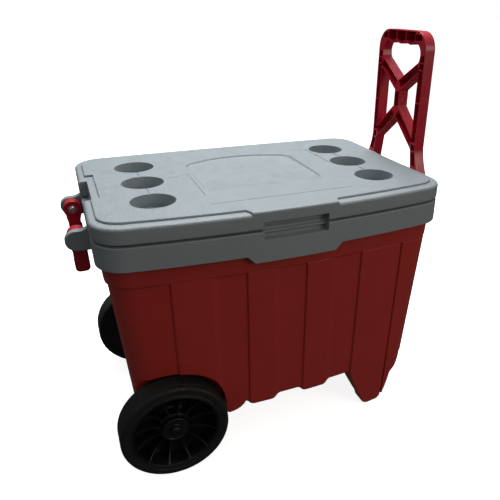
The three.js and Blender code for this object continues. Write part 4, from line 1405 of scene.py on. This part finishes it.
class COOLER_OT_wheels(bpy.types.Operator):
    """Builds both wheels with their tyres, bushes, washers and caps, and the axle."""

    bl_idname = "cooler.wheels"
    bl_label = "Wheels and axle"

    def execute(self, context):
        size = Sizes("cooler_wheel")
        group = context.scene.cooler_wheel
        rim, hub, width = size.rim_radius, size.hub_radius, WHEEL_WIDTH
        for hand, side in (("front", -1), ("rear", 1)):
            place = (WHEEL_X, side * (WHEEL_OUTER - width), WHEEL_RADIUS)
            body = f"wheel_{hand}"
            tyre = turned(tyre_profile(rim + GAP, width), "Z", (0, 0, 0), 128, closed=True)
            tyre = aim(tyre, (0, side, 0), place)
            name = f"wheel_tyre_{hand}"
            close_piece(tyre, name + "_ring", finish_of("tyre"), body, [name])

            name = f"wheel_rim_{hand}"
            centre = aim(self.rim_solid(rim, hub, width, group), (0, side, 0), place)
            black = finish_of("wheel_plastic")
            close_piece(centre, name + "_disc", black, body, [name], bevel=0.5)

            name = f"wheel_bush_{hand}"
            low, high = span(name, 1)
            bush = washer_ring(AXLE_BORE, 9.4, high - low)
            bush = aim(bush, (0, side, 0), (WHEEL_X, low if side > 0 else high, WHEEL_RADIUS))
            close_piece(bush, name + "_sleeve", finish_of("white_liner"), body, [name])

            name = f"axle_washer_{hand}"
            low, high = span(name, 1)
            ring = washer_ring(AXLE_BORE, 14, high - low)
            ring = aim(ring, (0, side, 0), (WHEEL_X, low if side > 0 else high, WHEEL_RADIUS))
            close_piece(ring, name + "_ring", finish_of("steel"), "body", [name])

            name = f"axle_cap_{hand}"
            low, high = span(name, 1)
            turns = [pi / 14 * step for step in range(1, 7)]
            profile = [(AXLE_BORE, -3.5), (10.6, -3.5), (10.6, 0.8), (10.2, 1.4), (9.6, 1.4)]
            profile += [(9.4 * cos(turn), 1.4 + 3.2 * sin(turn)) for turn in turns]
            profile += [(0, 4.6), (0, 3), (4, 2.8), (AXLE_BORE, 0)]
            cap = turned(profile, "Z", (0, 0, 0), 48, closed=True)
            seat = low + 3.5 if side > 0 else high - 3.5
            cap = aim(cap, (0, side, 0), (WHEEL_X, seat, WHEEL_RADIUS))
            close_piece(cap, name + "_dome", finish_of("black_steel"), "body", [name])
        high = WHEEL_OUTER - 8
        ease = 1.0
        end = [(AXLE_RADIUS, high - ease), (AXLE_RADIUS - ease, high), (0, high)]
        bar = turned([(radius, -z) for radius, z in end[::-1]] + end, "Z", (0, 0, 0), 48)
        bar = aim(bar, (0, 1, 0), (WHEEL_X, 0, WHEEL_RADIUS))
        close_piece(bar, "axle_bar", finish_of("steel"), "body", ["axle"])
        return {"FINISHED"}

    def rim_solid(self, rim, hub, width, group):
        """The wheel's centre along Z: a dished web under curved spokes, with a raised hub disc."""
        face = 40.0
        outer = [(rim, 1), (rim, width - 1.6), (rim - 0.8, width - 0.8), (rim - 3.2, width - 0.8)]
        outer += [(rim - 3.8, width - 2), (rim - 6, width - 9), (rim - 6, 12)]
        web = [(60, 9), (hub + 8, 9), (hub + 5, 12), (hub + 5, 30), (hub + 4, 31), (hub + 2.6, 31)]
        disc = [(hub + 2.2, 30), (hub, 30), (hub, face - 1), (hub - 1, face), (hub - 3.4, face)]
        disc += [(hub - 4, face - 0.9), (12, face - 0.9), (11.2, face), (9.8, face), (9.8, -3)]
        back = [(20, -3), (20, 4), (76, 4)]
        solid = turned(outer + web + disc + back, "Z", (0, 0, 0), 96, closed=True)
        blades = []
        for number in range(group.spokes):
            blade = spoke((hub + 2.4, 34), (rim - 4, width - 4), group.dish * MILLIMETRES, 7)
            turn = Matrix.Rotation(2 * pi * (number + 0.5) / group.spokes, 4, "Z")
            bmesh.ops.transform(blade, matrix=turn, verts=blade.verts)
            blades.append(blade)
        return join(solid, gather(*blades))


# ---- the drain and the seals -----------------------------------------------------------------------


class COOLER_OT_drain(bpy.types.Operator):
    """Builds the drain's spout, nut, cap and seals, and the lid's gasket."""

    bl_idname = "cooler.drain"
    bl_label = "Drain and seals"

    def execute(self, context):
        white, grey, rubber = (finish_of(slot) for slot in ("white_liner", "grey_plastic", "seal_rubber"))
        start = span("drain_spout", 0)[0]
        profile = [(9, 0), (19.4, 0), (20, 0.8), (20, 2.6), (12.5, 2.6), (12.5, 61.4), (12, 62), (9, 62)]
        spout = turned(profile, "X", (start, 0, DRAIN_Z), 64, closed=True)
        close_piece(spout, "drain_spout_tube", white, "body", ["drain_spout"])

        low, high = span("drain_gasket", 0)
        section = [(12.8, 0), (19.5, 0), (19.5, high - low), (12.8, high - low)]
        gasket = turned(section, "X", (low, 0, DRAIN_Z), 48, closed=True)
        close_piece(gasket, "drain_gasket_ring", rubber, "body", ["drain_gasket"])

        low, high = span("drain_nut", 0)
        flats = arc((0, DRAIN_Z), 19, 22.5, 337.5, 7)
        nut = cut(end_plate(flats, low, high), rod("X", 12.8, (0, DRAIN_Z), low - 5, high + 5))
        close_piece(nut, "drain_nut_ring", white, "body", ["drain_nut"], bevel=0.8)

        low, high = span("drain_cap", 0)
        profile = [(0, 6.4), (13, 6.4), (13, 0), (16.4, 0), (16.4, 8.2), (15, 10), (0, 10)]
        cap = turned(profile, "X", (low, 0, DRAIN_Z), 96)
        ribs = []
        count = 24
        for number in range(count):
            turn = 2 * pi * number / count
            rib = block((low + 0.8, -0.7, 15.8), (low + 8, 0.7, 17))
            bmesh.ops.rotate(rib, cent=(0, 0, 0), matrix=Matrix.Rotation(turn, 3, "X"), verts=rib.verts)
            bmesh.ops.translate(rib, vec=(0, 0, DRAIN_Z), verts=rib.verts)
            ribs.append(rib)
        cap = join(cap, gather(*ribs))
        close_piece(cap, "drain_cap_knob", grey, "drain_cap", ["drain_cap"], bevel=0.35)

        low, high = span("drain_cap_seal", 0)
        section = [(4, 0), (11.8, 0), (11.8, high - low), (4, high - low)]
        seal = turned(section, "X", (low, 0, DRAIN_Z), 48, closed=True)
        close_piece(seal, "drain_cap_seal_ring", rubber, "drain_seal", ["drain_cap_seal"])

        low, high = span("lid_gasket", 2)
        section = [(-10.7, 488), (-10.7, high), (-4.3, high), (-4.3, 488), (-5.5, low), (-9.5, low)]
        gasket = loft([level(tub_outline(SEAT_Z, inset), z) for inset, z in section], closed=True)
        close_piece(gasket, "lid_gasket_ring", rubber, "lid", ["lid_gasket"])
        return {"FINISHED"}


class COOLER_OT_foam(bpy.types.Operator):
    """Gives the hidden foam, which keeps its CAD shape, its finish."""

    bl_idname = "cooler.foam"
    bl_label = "Foam"

    def execute(self, context):
        for name in ("insulation_foam", "lid_foam"):
            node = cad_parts[name]
            node.data.materials.clear()
            node.data.materials.append(finish_of("foam"))
        return {"FINISHED"}


# ---- the add-on ---------------------------------------------------------------------------------

OPERATORS = (
    COOLER_OT_stage,
    COOLER_OT_body,
    COOLER_OT_collar,
    COOLER_OT_liner,
    COOLER_OT_lid,
    COOLER_OT_tow_handle,
    COOLER_OT_carry_bail,
    COOLER_OT_pivots,
    COOLER_OT_hinges,
    COOLER_OT_wheels,
    COOLER_OT_drain,
    COOLER_OT_foam,
)


class COOLER_PT_panel(bpy.types.Panel):
    """Lists the cooler's sizes, colours and operators."""

    bl_idname = "COOLER_PT_panel"
    bl_label = "Cooler"
    bl_space_type = "VIEW_3D"
    bl_region_type = "UI"
    bl_category = "Cooler"

    def draw(self, context):
        for group, kind in GROUPS.items():
            box = self.layout.box()
            for name in kind.__annotations__:
                box.prop(getattr(context.scene, group), name)
        for operator in OPERATORS:
            self.layout.operator(operator.bl_idname)


def register():
    for kind in (*GROUPS.values(), *OPERATORS, COOLER_PT_panel):
        bpy.utils.register_class(kind)
    for group, kind in GROUPS.items():
        setattr(bpy.types.Scene, group, bpy.props.PointerProperty(type=kind))


def unregister():
    for group in GROUPS:
        delattr(bpy.types.Scene, group)
    for kind in (COOLER_PT_panel, *reversed(OPERATORS), *reversed(list(GROUPS.values()))):
        bpy.utils.unregister_class(kind)


def main():
    """Registers the add-on and builds everything in order."""
    register()
    for operator in OPERATORS:
        category, name = operator.bl_idname.split(".")
        getattr(getattr(bpy.ops, category), name)()
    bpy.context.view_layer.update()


if __name__ == "__main__":
    main()
